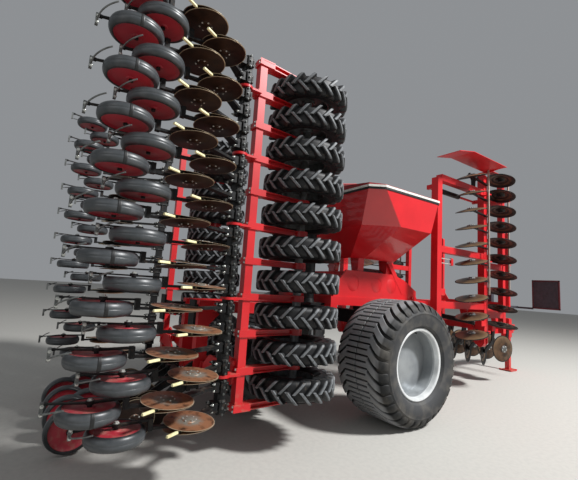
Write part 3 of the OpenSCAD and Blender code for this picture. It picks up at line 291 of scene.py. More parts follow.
# Dark frame paint of the front board
MAROON = paint("maroon_frame_paint", "#5A1820", "#43131A", 0.45, 0.1)
BLACK = cast_black()
PACKER_RUBBER = packer_rubber()
ROAD_RUBBER = road_rubber()
PRESS_RUBBER = press_rubber()
DISC_STEEL = seed_disc_steel()
HARROW_STEEL = harrow_disc_steel()
# Zinc plating: pale heads that stand out on black and red
ZINC = plain_metal("zinc_plated_fixings", "#D6D8D3", "#A9ABA6", 0.3, 0.5, 15)
# Phosphated steel: grey, hardly shining
PHOSPHATED = plain_metal("phosphated_fixings", "#5E605E", "#3B3D3C", 0.45, 0.6, 20)
# Oil hardened spring wire: mid grey with a thin gleam
SPRING = plain_metal("spring_steel_wire", "#7C7F7E", "#555655", 0.4, 0.5, 30)
# Weathered galvanising: warm and matt
GALVANISED = plain_metal("galvanised_guard_steel", "#B9A69A", "#94857C", 0.5, 0.3, 50)
# Aluminium paint of the wheels: broad soft highlight
SILVER = plain_metal("silver_wheel_paint", "#9EA2A4", "#878B8E", 0.36, 0.35, 160)
# The rims' lip: a light ring, lighter than the silver cover
BRIGHT = plain_metal("bright_rim_edge", "#E2E4E4", "#CDD0D1", 0.3, 0.2, 90)
# Turned axles and hubs: grey steel with a brown tinge
STEEL = plain_metal("turned_axle_steel", "#7E8184", "#5E5C58", 0.4, 0.7, 40)
# Hard chrome of the piston rods: a mirror
CHROME = plain_metal("chromed_rod", "#D6D8DA", "#C4C6C8", 0.12, 1.0, 80)
# Cream plastic of the seed boots, waxy
CREAM = moulded("cream_boot_plastic", "#E9E2B4", "#CFC48E", 0.5)
# White trim along the hopper's edge
TRIM = moulded("white_edge_trim", "#E6E4DE", "#C9C5BC", 0.5)
# Coated fabric of the roll cover, dull crimson
TARP = moulded("crimson_roll_cover", "#A31D25", "#7F151C", 0.6)
# Dark grey boards and valve housing
SLATE = moulded("dark_grey_board", "#3A3840", "#2C2B31", 0.5)
# Black rubber strip: wheel bands and the hopper's seal
STRAP = moulded("black_rubber_strip", "#101112", "#1D1E1F", 0.5)

# The harrow discs' nodes keep the black of their arms, because their steel faces are added below
SLOT_LOOKS = {
    "tyre_black": PACKER_RUBBER,
    "press_rubber": PRESS_RUBBER,
    "disc_steel": BLACK,
    "black_paint": BLACK,
    "silver_paint": SILVER,
    "grey_steel": STEEL,
    "chrome_rod": CHROME,
    "white_trim": TRIM,
    "tarp": TARP,
    "dark_grey": SLATE,
    "red_paint": RED,
}
NODE_LOOKS = {"tines_r": SPRING, "tines_l": SPRING, "hopper": HOPPER_RED}
for subpart in frame["record"]["subparts"]:
    node = NODES[subpart["node"]]
    look = NODE_LOOKS.get(subpart["node"], SLOT_LOOKS[subpart["material_slot"]])
    node.data.materials.clear()
    node.data.materials.append(look)


# Modelling tools

# Mirrors a piece about its own middle, from top to bottom
FLIP = Matrix.Scale(-1, 4, (0, 0, 1))
# A washer's thickness and the height at which the bolt's head begins in it, in millimetres
WASHER = 3
HEAD_FOOT = 2


def pick(objects):
    """Selects only these objects, the first one active."""
    if bpy.context.object and bpy.context.object.mode != "OBJECT":
        bpy.ops.object.mode_set(mode="OBJECT")
    bpy.ops.object.select_all(action="DESELECT")
    for obj in objects:
        obj.select_set(True)
    bpy.context.view_layer.objects.active = objects[0]


def start_primitive():
    """Leaves nothing selected, so that the next primitive stands alone."""
    bpy.ops.object.select_all(action="DESELECT")


def open_mesh(action="SELECT"):
    """Goes into the new piece's mesh with all or none of it selected."""
    bpy.ops.object.mode_set(mode="EDIT")
    bpy.ops.mesh.select_all(action=action)


def open_top(obj):
    """Goes into the mesh with only its top faces selected."""
    open_mesh("DESELECT")
    bpy.ops.object.mode_set(mode="OBJECT")
    for face in obj.data.polygons:
        face.select = face.normal.z > 0.9
    bpy.ops.object.mode_set(mode="EDIT")


def close_mesh():
    """Turns all faces outwards and leaves the mesh."""
    bpy.ops.mesh.select_all(action="SELECT")
    bpy.ops.mesh.normals_make_consistent(inside=False)
    bpy.ops.object.mode_set(mode="OBJECT")


def apply_place():
    """Bakes the active piece's place, turn and size into its mesh."""
    bpy.ops.object.transform_apply(location=True, rotation=True, scale=True)


def settle(obj, name, mat, angle=35):
    """Bakes the place into the mesh, gives the finish and smooths below an angle."""
    pick([obj])
    apply_place()
    bpy.ops.object.shade_smooth_by_angle(angle=math.radians(angle))
    obj.name = name
    obj.data.materials.clear()
    obj.data.materials.append(mat)
    return obj


def soften(obj, width_mm, segments=2, angle=30):
    """Rounds the edges sharper than an angle."""
    pick([obj])
    bevel = obj.modifiers.new("edge", "BEVEL")
    bevel.width = width_mm * MM
    bevel.segments = segments
    bevel.limit_method = "ANGLE"
    bevel.angle_limit = math.radians(angle)
    bpy.ops.object.modifier_apply(modifier=bevel.name)


def draw_line(points):
    """Draws edges from point to point and leaves them selected in the open mesh."""
    start_primitive()
    bpy.ops.mesh.primitive_plane_add(size=0.01, location=(0, 0, 0))
    open_mesh()
    bpy.ops.mesh.merge(type="CENTER")
    bpy.ops.mesh.select_all(action="SELECT")
    bpy.ops.transform.translate(value=points[0])
    for before, after in zip(points, points[1:]):
        step = [b - a for a, b in zip(before, after)]
        bpy.ops.mesh.extrude_vertices_move(TRANSFORM_OT_translate={"value": step})
    bpy.ops.mesh.select_all(action="SELECT")


def turned(name, outline, steps, mat):
    """A body turned about Z from an outline of radius and height in millimetres."""
    draw_line([(r * MM, 0, z * MM) for r, z in outline])
    bpy.ops.mesh.spin(steps=steps, angle=2 * math.pi, center=(0, 0, 0), axis=(0, 0, 1))
    bpy.ops.mesh.select_all(action="SELECT")
    bpy.ops.mesh.remove_doubles(threshold=0.00005)
    close_mesh()
    return settle(bpy.context.object, name, mat)


def plate(name, outline, low, high, mat, edge_mm=2.0):
    """A plate between two places across, from an outline of along and up, in mm from the axle."""
    draw_line([(low * MM, AXLE_Y + y * MM, z * MM) for y, z in outline])
    bpy.ops.mesh.edge_face_add()
    bpy.ops.mesh.extrude_region_move(TRANSFORM_OT_translate={"value": ((high - low) * MM, 0, 0)})
    close_mesh()
    soften(bpy.context.object, edge_mm)
    return settle(bpy.context.object, name, mat)


def both(half):
    """An outline from its upper half, closed below."""
    whole = list(half) + [(r, -z) for r, z in reversed(half)]
    return whole + [whole[0]]


def arc(x, z, wide, high, degrees):
    """Points of an ellipse about a centre, in millimetres, at degrees from +X towards +Z."""
    turns = [math.radians(d) for d in degrees]
    return [(x + wide * math.cos(a), z + high * math.sin(a)) for a in turns]


def swept_bar(name, width, height, stations, taper, crest, mat):
    """A tread bar: one face extruded through stations of angle, top radius and place along the axle."""
    places = []
    for angle, top, along in stations:
        mid = (top - height / 2) * MM
        places.append(Vector((mid * math.cos(angle), mid * math.sin(angle), along * MM)))
    start_primitive()
    bpy.ops.mesh.primitive_plane_add(size=1.0, location=(0, 0, 0))
    obj = bpy.context.object
    open_mesh()
    bpy.ops.transform.resize(value=(height * MM, width * MM, 1.0), center_override=(0, 0, 0))
    bpy.ops.mesh.select_all(action="DESELECT")
    bpy.ops.object.mode_set(mode="OBJECT")
    for vertex in obj.data.vertices:
        vertex.select = vertex.co.x > 0
    bpy.ops.object.mode_set(mode="EDIT")
    bpy.ops.transform.resize(value=(1.0, crest, 1.0), center_override=(0, 0, 0))
    bpy.ops.mesh.select_all(action="SELECT")
    bpy.ops.transform.rotate(value=-stations[0][0], orient_axis="Z", center_override=(0, 0, 0))
    bpy.ops.transform.translate(value=places[0])
    for before, after, one, two in zip(places, places[1:], stations, stations[1:]):
        bpy.ops.mesh.extrude_region_move(TRANSFORM_OT_translate={"value": after - before})
        bpy.ops.transform.rotate(value=-(two[0] - one[0]), orient_axis="Z", center_override=after)
    bpy.ops.transform.resize(value=(taper, taper, 1.0), center_override=places[-1])
    close_mesh()
    soften(obj, 3.0, 1, 50)
    return settle(obj, name, mat)


def block(name, low, high, mat, edge_mm=3.0, squeeze=(1.0, 1.0)):
    """A plate or bar between two corners in metres, its top drawn in by squeeze, edges rounded."""
    low, high = Vector(low), Vector(high)
    start_primitive()
    bpy.ops.mesh.primitive_cube_add(size=1.0, location=(low + high) / 2)
    obj = bpy.context.object
    obj.scale = [abs(c) for c in (high - low)]
    apply_place()
    open_top(obj)
    middle = ((low.x + high.x) / 2, (low.y + high.y) / 2, max(low.z, high.z))
    bpy.ops.transform.resize(value=(squeeze[0], squeeze[1], 1.0), center_override=middle)
    bpy.ops.object.mode_set(mode="OBJECT")
    soften(obj, edge_mm)
    return settle(obj, name, mat)


def placed_block(name, x, y, z, mat, edge_mm=2.0):
    """A block between pairs of places across, along and up, in millimetres from the axle."""
    low = (x[0] * MM, AXLE_Y + y[0] * MM, z[0] * MM)
    high = (x[1] * MM, AXLE_Y + y[1] * MM, z[1] * MM)
    return block(name, low, high, mat, edge_mm)


def rod(name, path, radius_mm, mat, sides=8):
    """A round bar along points of across and up, in millimetres, bent in the XZ plane."""
    points = [Vector((x * MM, 0, z * MM)) for x, z in path]
    headings = [math.atan2((b - a).x, (b - a).z) for a, b in zip(points, points[1:])]
    start_primitive()
    bpy.ops.mesh.primitive_circle_add(vertices=sides, radius=radius_mm * MM, fill_type="NGON",
                                      location=points[0])
    apply_place()
    open_mesh()
    bpy.ops.transform.rotate(value=-headings[0], orient_axis="Y", center_override=points[0])
    facing = headings[0]
    for i, (before, after) in enumerate(zip(points, points[1:])):
        bpy.ops.mesh.extrude_region_move(TRANSFORM_OT_translate={"value": after - before})
        wanted = (headings[i] + headings[min(i + 1, len(headings) - 1)]) / 2
        bpy.ops.transform.rotate(value=facing - wanted, orient_axis="Y", center_override=after)
        facing = wanted
    close_mesh()
    return settle(bpy.context.object, name, mat, 50)


def hex_head(radius_mm, height_mm, mat):
    """A hexagon head on its washer, facing +Z, foot at the origin."""
    radius = radius_mm * MM
    height = height_mm * MM
    washer = WASHER * MM
    start_primitive()
    bpy.ops.mesh.primitive_cylinder_add(vertices=6, radius=radius, depth=height,
                                        location=(0, 0, height / 2 + HEAD_FOOT * MM))
    head = bpy.context.object
    apply_place()
    open_top(head)
    bpy.ops.mesh.inset(thickness=0.18 * radius, depth=0.12 * height)
    bpy.ops.object.mode_set(mode="OBJECT")
    start_primitive()
    bpy.ops.mesh.primitive_cylinder_add(vertices=12, radius=1.3 * radius, depth=washer,
                                        location=(0, 0, washer / 2))
    return settle(joined("hex_head", head, bpy.context.object), "hex_head", mat)


def joined(name, *pieces):
    """Joins pieces into the first of them."""
    pick(pieces)
    bpy.ops.object.join()
    pieces[0].name = name
    return pieces[0]


def copies(proto, name, turns):
    """Copies of a finished piece, one for each matrix, joined into one piece."""
    made = []
    for turn in turns:
        twin = proto.copy()
        twin.data = proto.data.copy()
        twin.data.transform(turn)
        if turn.determinant() < 0:
            twin.data.flip_normals()
        bpy.context.scene.collection.objects.link(twin)
        made.append(twin)
    pick(made)
    if len(made) > 1:
        bpy.ops.object.join()
    piece = bpy.context.object
    piece.name = name
    return piece


def drop(*pieces):
    """Removes the pieces that were only copied from."""
    for obj in pieces:
        bpy.data.objects.remove(obj)


def mark_ring(obj, radius_mm):
    """Stores each point's share of the wheel's radius, measured about Z."""
    marks = obj.data.attributes.new("ring", "FLOAT", "POINT")
    for i, point in enumerate(obj.data.vertices):
        marks.data[i].value = math.hypot(point.co.x, point.co.y) / (radius_mm * MM)


def at(x, y, z, *turns):
    """A place in the part's millimetres from the transport axle, with turns of (axis, degrees)."""
    matrix = Matrix.Translation((x * MM, AXLE_Y + y * MM, z * MM))
    for axis, degrees in turns:
        matrix = matrix @ Matrix.Rotation(math.radians(degrees), 4, axis)
    return matrix


def round_hub(count, radius, height):
    """Places spread evenly about Z, in millimetres."""
    return [Matrix.Rotation(math.radians(i * 360 / count), 4, "Z") @
            Matrix.Translation((radius * MM, 0, height * MM)) for i in range(count)]


def both_halves(angles, shift):
    """Turns about Z in degrees for one half of a tread, and the other half shifted and mirrored."""
    turns = [Matrix.Rotation(math.radians(a), 4, "Z") for a in angles]
    other = [Matrix.Rotation(math.radians(a + shift), 4, "Z") @ FLIP for a in angles]
    return turns + other


def on_both(proto, name, turns, body, *nodes):
    """One joined set on each side, which rides its body and stands for its nodes."""
    for side, sign in SIDES.items():
        placed = [turn if sign > 0 else MIRROR @ turn for turn in turns]
        piece = copies(proto, name + "_" + side, placed)
        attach(piece, body + "_" + side)
        if nodes:
            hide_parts(*[node + "_" + side for node in nodes])


# Packer tyres: casing with shoulder rings, and two rings of bars that meet in a staggered V

TYRES = 10
MID_TYRES = 4
TYRE_GAP = 300
TYRE_Z = 499
MID_TYRE_Z = 509
TYRE_TURN = 7
PACKER_X = 1030
PACKER_Y = -1342
PACKER_R = 389
PACKER_BARS = 20
BAR_LEAN = math.tan(math.radians(43))


def packer_tyre():
    """One packer tyre about Z."""
    side = [(306, 93.5), (300, 91), (264, 92), (258, 94), (252, 91), (236, 84), (222, 72), (207, 63),
            (205, 58)]
    half = [(344, 0), (342, 46)] + arc(302, 47, 40, 40, (15, 40, 65, 90)) + side
    casing = turned("packer_casing", both(half), 72, PACKER_RUBBER)
    # Place along the axle, top radius
    tops = ((-10, 388.5), (24, 388.5), (54, 388), (76, 385), (88, 375), (91.5, 356))
    stations = [(along * BAR_LEAN / PACKER_R, top, along) for along, top in tops]
    bar = swept_bar("packer_bar", 44, 60, stations, 0.9, 0.6, PACKER_RUBBER)
    pitch = 360 / PACKER_BARS
    angles = [(i + 0.25) * pitch for i in range(PACKER_BARS)]
    bars = copies(bar, "packer_bars", both_halves(angles, -pitch / 2))
    drop(bar)
    tyre = joined("packer_tyre", casing, bars)
    mark_ring(tyre, PACKER_R)
    return tyre


tyre = packer_tyre()
wing_turns = [at(PACKER_X, PACKER_Y, TYRE_Z + i * TYRE_GAP, ("Z", i * TYRE_TURN)) for i in range(TYRES)]
on_both(tyre, "packer_tread", wing_turns, "roller", "packer_tyres")
mid_turns = [at((i - (MID_TYRES - 1) / 2) * TYRE_GAP, PACKER_Y, MID_TYRE_Z, ("Y", 90), ("Z", i * TYRE_TURN))
             for i in range(MID_TYRES)]
mid_tread = copies(tyre, "packer_tread_c", mid_turns)
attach(mid_tread, "roller_c")
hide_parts("packer_tyres_c")
drop(tyre)


# Rows of coulters: a place of the row's number and height, on the wing and in the centre

ROWS = 20
MID_ROWS = 8
ROW_GAP = 150
ROW_Z = 408
FOLD_X = 903
FOLD_Z = 636
to_centre = at(FOLD_X, 0, FOLD_Z, ("Y", 90)) @ at(FOLD_X, 0, FOLD_Z).inverted()


def wing_rows(place):
    """A place in each row of the folded wing."""
    return [place(i, ROW_Z + i * ROW_GAP) for i in range(ROWS)]


def mid_rows(place):
    """The same place in each centre row, turned down about the fold line."""
    return [to_centre @ place(i, ROW_Z + (i - MID_ROWS) * ROW_GAP) for i in range(MID_ROWS)]


# Press wheels: round crowned rubber on a deep pressed dish

PRESS_X = 1357
PRESS_Y = (-2858, -3016)
PRESS_R = 175
CROWN_R = PRESS_R - 2
PRESS_RIM = 148
PRESS_HALF = 42
BAND_R = 2.5
BAND_SPREAD = Matrix.Scale(4.5, 4, (0, 1, 0))
HUB_TOP = PRESS_HALF + 25


def press_wheel():
    """One press wheel about Z, rubber and dish."""
    crown = arc(PRESS_RIM, 0, CROWN_R - PRESS_RIM, PRESS_HALF, (4, 20, 36, 52, 68, 84))
    tread = [(CROWN_R, 0), (CROWN_R - 0.8, 1.5)] + crown + [(143, 41), (138, 33)]
    rubber = turned("press_tread", both(tread), 56, PRESS_RUBBER)
    mark_ring(rubber, PRESS_R)
    hollow = [(143, 35), (139, 37.5), (134, 34), (126, 27), (110, 25), (60, 27), (34, 29), (30, 33), (15, 33)]
    dish = turned("press_dish", both(hollow), 48, CRIMSON)
    mark_ring(dish, PRESS_R)
    return joined("press_wheel", rubber, dish)


def press_place(i, z):
    """The press wheel's middle in a row: every other row reaches further back."""
    return at(PRESS_X, PRESS_Y[i % 2], z)


def hub_place(i, z):
    """The outer end of the press wheel's axle."""
    return press_place(i, z + HUB_TOP)


wheel = press_wheel()
on_both(wheel, "press_tread", wing_rows(press_place), "rear_wing", "press_wheels")

# Thin flat black strips across the treads of the wheels that reach further back
band_path = arc(PRESS_RIM, 0, PRESS_R - BAND_R - PRESS_RIM, PRESS_HALF, range(-80, 81, 20))
band = rod("tread_band", band_path, BAND_R, STRAP, 6)
on_both(band, "tread_bands", [place @ BAND_SPREAD for place in wing_rows(press_place)[1::2]], "rear_wing")
drop(band)

mid_wheels = copies(wheel, "press_tread_c", mid_rows(press_place))
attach(mid_wheels, "chassis")
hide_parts("press_wheels_c")
drop(wheel)

# Nut and washer on each press wheel's axle
hub_nut = hex_head(13, 9, ZINC)
on_both(hub_nut, "hub_nuts", wing_rows(hub_place), "rear_wing")
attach(copies(hub_nut, "hub_nuts_c", mid_rows(hub_place)), "chassis")
drop(hub_nut)


# Seed discs: ground edge, scoured face, riveted bearing cap, and the cream boots between them

DISC_X = 1350
DISC_Y = (-2402, -2561)
DISC_R = 170
DISC_APART = 16
DISC_LEAN = 4.5
DISC_TURN = 125
BOOT_X = 1462
BOOT_Y = (-2507, -2666)
BOOT_TURN = 120


def seed_disc():
    """One seed disc about Z, cap upwards."""
    outline = [(0.4, -2), (156, -2), (169.6, -0.3), (169.6, 0.3), (156, 2), (62, 2), (56, 5), (50, 5.5),
               (47, 9), (38, 12), (30, 12.5), (26, 15), (0.4, 15), (0.4, -2)]
    plain = turned("seed_disc", outline, 56, DISC_STEEL)
    rivet = hex_head(5, 3, ZINC)
    rivets = copies(rivet, "rivets", round_hub(6, 43, 9))
    drop(rivet)
    whole = joined("seed_disc", plain, rivets)
    mark_ring(whole, DISC_R)
    return whole


def upper_disc(i, z):
    """The disc whose cap looks up the folded wing."""
    return at(DISC_X, DISC_Y[i % 2], z + DISC_APART, ("Z", DISC_TURN), ("X", DISC_LEAN))


def lower_disc(i, z):
    """Its partner, which looks down and leans the other way."""
    return at(DISC_X, DISC_Y[i % 2], z - DISC_APART, ("Z", DISC_TURN), ("X", -DISC_LEAN)) @ FLIP


def boot_place(i, z):
    """The boot's place behind the discs' middle."""
    return at(BOOT_X, BOOT_Y[i % 2], z, ("Z", BOOT_TURN))


disc = seed_disc()
boot = block("boot", (-0.104, -0.010, -0.008), (0.040, 0.010, 0.008), CREAM, 3.0, (0.96, 0.8))
on_both(disc, "seed_disc_set", wing_rows(upper_disc) + wing_rows(lower_disc), "rear_wing", "seed_discs")
on_both(boot, "boot_set", wing_rows(boot_place), "rear_wing")
mid_discs = copies(disc, "seed_disc_set_c", mid_rows(upper_disc) + mid_rows(lower_disc))
mid_boots = copies(boot, "boot_set_c", mid_rows(boot_place))
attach(mid_discs, "chassis")
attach(mid_boots, "chassis")
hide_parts("seed_discs_c")
drop(disc, boot)


# Transport tyres: flotation tread of wide lateral bars that bend over the shoulder

ROAD_X = 1120
ROAD_R = 645
ROAD_BARS = 34
VALVE_TURN = 160


def road_tyre():
    """The transport tyre about Z."""
    side = [(540, 333), (528, 338), (522, 341), (516, 338), (500, 340), (470, 338), (440, 331), (410, 322),
            (396, 316), (392, 308), (376, 284), (366, 268), (358, 258)]
    half = [(612, 0), (611, 120)] + arc(516, 232, 92, 98, (8, 28, 48, 68)) + side
    casing = turned("road_casing", both(half), 96, ROAD_RUBBER)
    # Angle, top radius, place along the axle
    over = [(0.0, 643.6, 140), (0.035, 643.6, 168), (0.09, 642, 204), (0.14, 636, 240), (0.176, 622, 274),
            (0.192, 600, 303), (0.198, 572, 324), (0.2, 545, 334)]
    bar = swept_bar("road_bar", 82, 54, over, 0.8, 0.94, ROAD_RUBBER)
    across = [(0.0, 644.4, 7), (0.0, 644.4, 150)]
    brick = swept_bar("road_brick", 44, 50, across, 1.0, 0.94, ROAD_RUBBER)
    pitch = 360 / ROAD_BARS
    bar_angles = [(i + 0.25) * pitch for i in range(ROAD_BARS)]
    brick_angles = [i * pitch / 2 for i in range(2 * ROAD_BARS)]
    bars = copies(bar, "road_bars", both_halves(bar_angles, pitch / 2))
    bricks = copies(brick, "road_bricks", both_halves(brick_angles, pitch / 2))
    drop(bar, brick)
    whole = joined("road_tyre", casing, bars, bricks)
    mark_ring(whole, ROAD_R)
    return whole


wheel_place = at(ROAD_X, 0, ROAD_R, ("Y", 90))
road = road_tyre()
on_both(road, "road_tread", [wheel_place], "wheel", "tyre")
drop(road)

# Smooth dished cover of the transport rims, with its rolled bead and the valve
cover_outline = [(0.5, 152), (40, 152), (120, 146), (250, 122), (306, 108), (322, 108), (326, 114),
                 (331, 114), (333, 104), (333, 98), (322, 100), (300, 102), (250, 116), (120, 140),
                 (40, 147), (0.5, 147), (0.5, 152)]
lip_outline = [(334, 200), (338, 262), (343, 280), (352, 286), (362, 286), (366, 280), (368, 284), (362, 291),
               (351, 291), (340, 285), (333, 264), (329, 200), (334, 200)]
cover = turned("wheel_cover", cover_outline, 72, SILVER)
lip = turned("rim_lip", lip_outline, 72, BRIGHT)
valve = rod("valve", [(322, 122), (318, 150), (312, 168)], 5, BLACK)
on_both(cover, "wheel_cover", [wheel_place], "wheel")
on_both(lip, "rim_lip", [wheel_place], "wheel")
on_both(valve, "tyre_valve", [at(ROAD_X, 0, ROAD_R, ("Y", 90), ("Z", VALVE_TURN))], "wheel")
drop(cover, lip, valve)


# Bolts: two pads of each packer arm's clamp, the coulter clamps and the tine brackets

BEAM_X = 1020
BEAM_W = 80
PAD_Y = -1954
PAD_HEIGHTS = (-17, 17)
FIRST_ARM_Z = 362
ARM_Z = [FIRST_ARM_Z] + [TYRE_Z + (i - 0.5) * TYRE_GAP for i in range(1, TYRES + 1)]
BAR_X = 1110
BAR_Y = -2080
CLAMP_BACK = -69
CLAMP_SIDES = (-36, 36)
CLAMP_HEIGHTS = (-22, 22)
TINE_X = 1302
TINE_BACK = -232
TINE_HEIGHTS = (0, 44)


def to_bar(i, dx, dy, dz, *turns):
    """A place from the middle of the coulter bar in a row."""
    return at(BAR_X + dx, BAR_Y + dy, ROW_Z + i * ROW_GAP + dz, *turns)


head = hex_head(8, 7, ZINC)
arm_bolts = [at(BEAM_X + dx, PAD_Y, z + dz, ("X", 90))
             for z in ARM_Z for dx in (0, BEAM_W) for dz in PAD_HEIGHTS]
clamp_bolts = [to_bar(i, dx, CLAMP_BACK, dz, ("X", 90))
               for i in range(ROWS) for dx in CLAMP_SIDES for dz in CLAMP_HEIGHTS]
tine_bolts = [at(TINE_X, PRESS_Y[i % 2] + TINE_BACK, ROW_Z + i * ROW_GAP + dz, ("Y", 90))
              for i in range(ROWS) for dz in TINE_HEIGHTS]
on_both(head, "frame_bolts", arm_bolts + clamp_bolts + tine_bolts, "rear_wing")
drop(head)


# Coulter clamps: U-bolts around the bar, their nuts, and the cushioned housing on the bar's outer face

UBOLT_HALF = 42
UBOLT_BACK = -92
UBOLT_FRONT = 47
UBOLT_BEND = 12
UBOLT_RIGHT = (15, 33.75, 52.5, 71.25, 90)
UBOLT_LEFT = (90, 108.75, 127.5, 146.25, 165)
UBOLT_HEIGHTS = (-24, 24)
HOUSING_OUT = 34
HOUSING_HEAD_OUT = 60
HOUSING_HEIGHTS = (-48, 0, 48)

bend_x = UBOLT_HALF - UBOLT_BEND
bend_z = UBOLT_FRONT - UBOLT_BEND
ubolt_path = [(UBOLT_HALF, UBOLT_BACK), (UBOLT_HALF, bend_z)]
ubolt_path += arc(bend_x, bend_z, UBOLT_BEND, UBOLT_BEND, UBOLT_RIGHT)
ubolt_path += arc(-bend_x, bend_z, UBOLT_BEND, UBOLT_BEND, UBOLT_LEFT)
ubolt_path += [(-UBOLT_HALF, bend_z), (-UBOLT_HALF, UBOLT_BACK)]
ubolt = rod("ubolt", ubolt_path, 6, PHOSPHATED)
ubolt_nut = hex_head(9, 9, ZINC)
housing = block("clamp", (-0.056, -0.032, 0.0), (0.056, 0.032, 0.026), BLACK, 4.0, (0.8, 0.7))
housing_head = hex_head(8, 7, PHOSPHATED)
ubolts = [to_bar(i, 0, 0, dz, ("X", -90)) for i in range(ROWS) for dz in UBOLT_HEIGHTS]
nuts = [to_bar(i, dx, CLAMP_BACK, dz, ("X", 90))
        for i in range(ROWS) for dz in UBOLT_HEIGHTS for dx in (-UBOLT_HALF, UBOLT_HALF)]
housings = [to_bar(i, HOUSING_OUT, 0, 0, ("Y", 90)) for i in range(ROWS)]
heads = [to_bar(i, HOUSING_HEAD_OUT, 0, dz, ("Y", 90)) for i in range(ROWS) for dz in HOUSING_HEIGHTS]
on_both(ubolt, "coulter_ubolts", ubolts, "rear_wing")
on_both(ubolt_nut, "ubolt_nuts", nuts, "rear_wing")
on_both(housing, "clamp_housings", housings, "rear_wing")
on_both(housing_head, "clamp_bolts", heads, "rear_wing")
drop(ubolt, ubolt_nut, housing, housing_head)


# Harrow discs: sheet faces with a worn light edge over the discs, whose arms are black

HARROW_R = 215
HARROW_BEND = 800
HARROW_HALF_SHEET = 3.6
HARROW_TURN = 16
HARROW_GAP = 250
HARROW_X = 1040
# Place along, height of the first disc and throw of each row
HARROW_ROWS = ((1650, 870, 1), (2490, 995, -1))
HARROWS = 10
MID_HARROW_ROWS = ((2500, 1), (3150, -1))
MID_HARROWS = 7
HARROW_HUB_Z = 560


def harrow_disc():
    """One dished disc about Z with its hub plate and bolts."""
    steps = [HARROW_R * i / 8 for i in range(9)]
    mid = (HARROW_BEND - math.sqrt(HARROW_BEND ** 2 - HARROW_R ** 2)) / 2
    face = [(max(r, 0.4), mid - HARROW_BEND + math.sqrt(HARROW_BEND ** 2 - r * r)) for r in steps]
    top = [(r, z + HARROW_HALF_SHEET) for r, z in face]
    low = [(r, z - HARROW_HALF_SHEET) for r, z in reversed(face)]
    edge = [(HARROW_R - 1, top[-1][1] - 1.5), (HARROW_R, face[-1][1]), (HARROW_R - 1, low[0][1] + 1.5)]
    skin = turned("harrow_disc", top[:-1] + edge + low[1:] + [top[0]], 48, HARROW_STEEL)
    steps_up = [(0.4, 3), (58, 1.5), (58, 6), (50, 9), (34, 9), (30, 14), (0.4, 14), (0.4, 3)]
    hub = turned("harrow_hub", [(r, mid + z) for r, z in steps_up], 24, STEEL)
    bolt = hex_head(8, 6, ZINC)
    bolts = copies(bolt, "hub_bolts", round_hub(5, 44, mid + 8))
    drop(bolt)
    whole = joined("harrow_disc", skin, hub, bolts)
    mark_ring(whole, HARROW_R)
    return whole


harrow = harrow_disc()
wing_harrows = [at(HARROW_X, y, z + i * HARROW_GAP, ("X", throw * HARROW_TURN))
                for y, z, throw in HARROW_ROWS for i in range(HARROWS)]
on_both(harrow, "harrow_faces", wing_harrows, "front_wing")
mid_harrows = [at((i - MID_HARROWS // 2) * HARROW_GAP, y, HARROW_HUB_Z, ("Z", throw * HARROW_TURN),
                  ("Y", -90 * throw)) for y, throw in MID_HARROW_ROWS for i in range(MID_HARROWS)]
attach(copies(harrow, "harrow_faces_c", mid_harrows), "chassis")
drop(harrow)


# Front wing: black fork bracket on its top bar, and the black barrel of the depth cylinder

FORK_Y = 1960
FORK_Z = 3038
FORK_X = (890, 910)
FORK_MID = (10, 105)
FORK_GROW = 1.03
DEPTH_PLACE = (780, 1190, 2870)

fork_arms = [(-40, 0), (40, 0), (50, 110), (140, 170), (110, 190), (10, 150), (-100, 210), (-130, 190),
             (-50, 110)]
fork_outline = [(FORK_Y + FORK_MID[0] + (y - FORK_MID[0]) * FORK_GROW,
                 FORK_Z + FORK_MID[1] + (z - FORK_MID[1]) * FORK_GROW) for y, z in fork_arms]
fork = plate("fork_bracket", fork_outline, *FORK_X, BLACK)
barrel_outline = [(0.4, 72), (34, 72), (36.5, 75), (36.5, 562), (34, 566), (24, 567), (24, 575), (0.4, 575),
                  (0.4, 72)]
sleeve = turned("depth_barrel", barrel_outline, 24, BLACK)
on_both(fork, "fork_bracket", [Matrix.Identity(4)], "front_wing")
on_both(sleeve, "depth_barrel", [at(*DEPTH_PLACE, ("X", -90))], "front_wing")
drop(fork, sleeve)

# Front wing: galvanised faces on the two guard bars, and the transport hook and tab on the rear post
GUARD_X = (1038, 1060)
GUARD_Y = ((2108, 2130), (2723, 2745))
GUARD_Z = (1424, 3322)
TAB_X = (916, 930)
TAB_Y = (1076, 1200)
TAB_Z = (1372, 1462)
HOOK_X = (920, 934)
HOOK_Y = (1076, 1330)
HOOK_Z = ((1800, 1812), (1862, 1874))
HOOK_END_X = (912, 942)
HOOK_END_Y = (1320, 1370)
HOOK_END_Z = (1786, 1888)

guards = [placed_block("guard", GUARD_X, y, GUARD_Z, GALVANISED) for y in GUARD_Y]
tab = placed_block("post_tab", TAB_X, TAB_Y, TAB_Z, RED)
hook_bars = [placed_block("hook_bar", HOOK_X, HOOK_Y, z, ZINC) for z in HOOK_Z]
hook_end = placed_block("hook_end", HOOK_END_X, HOOK_END_Y, HOOK_END_Z, RED, 5.0)
fittings = joined("wing_fittings", *guards, tab, *hook_bars, hook_end)
on_both(fittings, "wing_fittings", [Matrix.Identity(4)], "front_wing")
drop(fittings)


# Hopper: dark seal under the white edge trim

HOPPER_X = 1150
HOPPER_BACK = -450
HOPPER_FRONT = 800
HOPPER_CUT = 110
HOPPER_BACK_CUT = 1.4 * HOPPER_CUT
SEAL_LOW = 2494
SEAL_HIGH = 2518


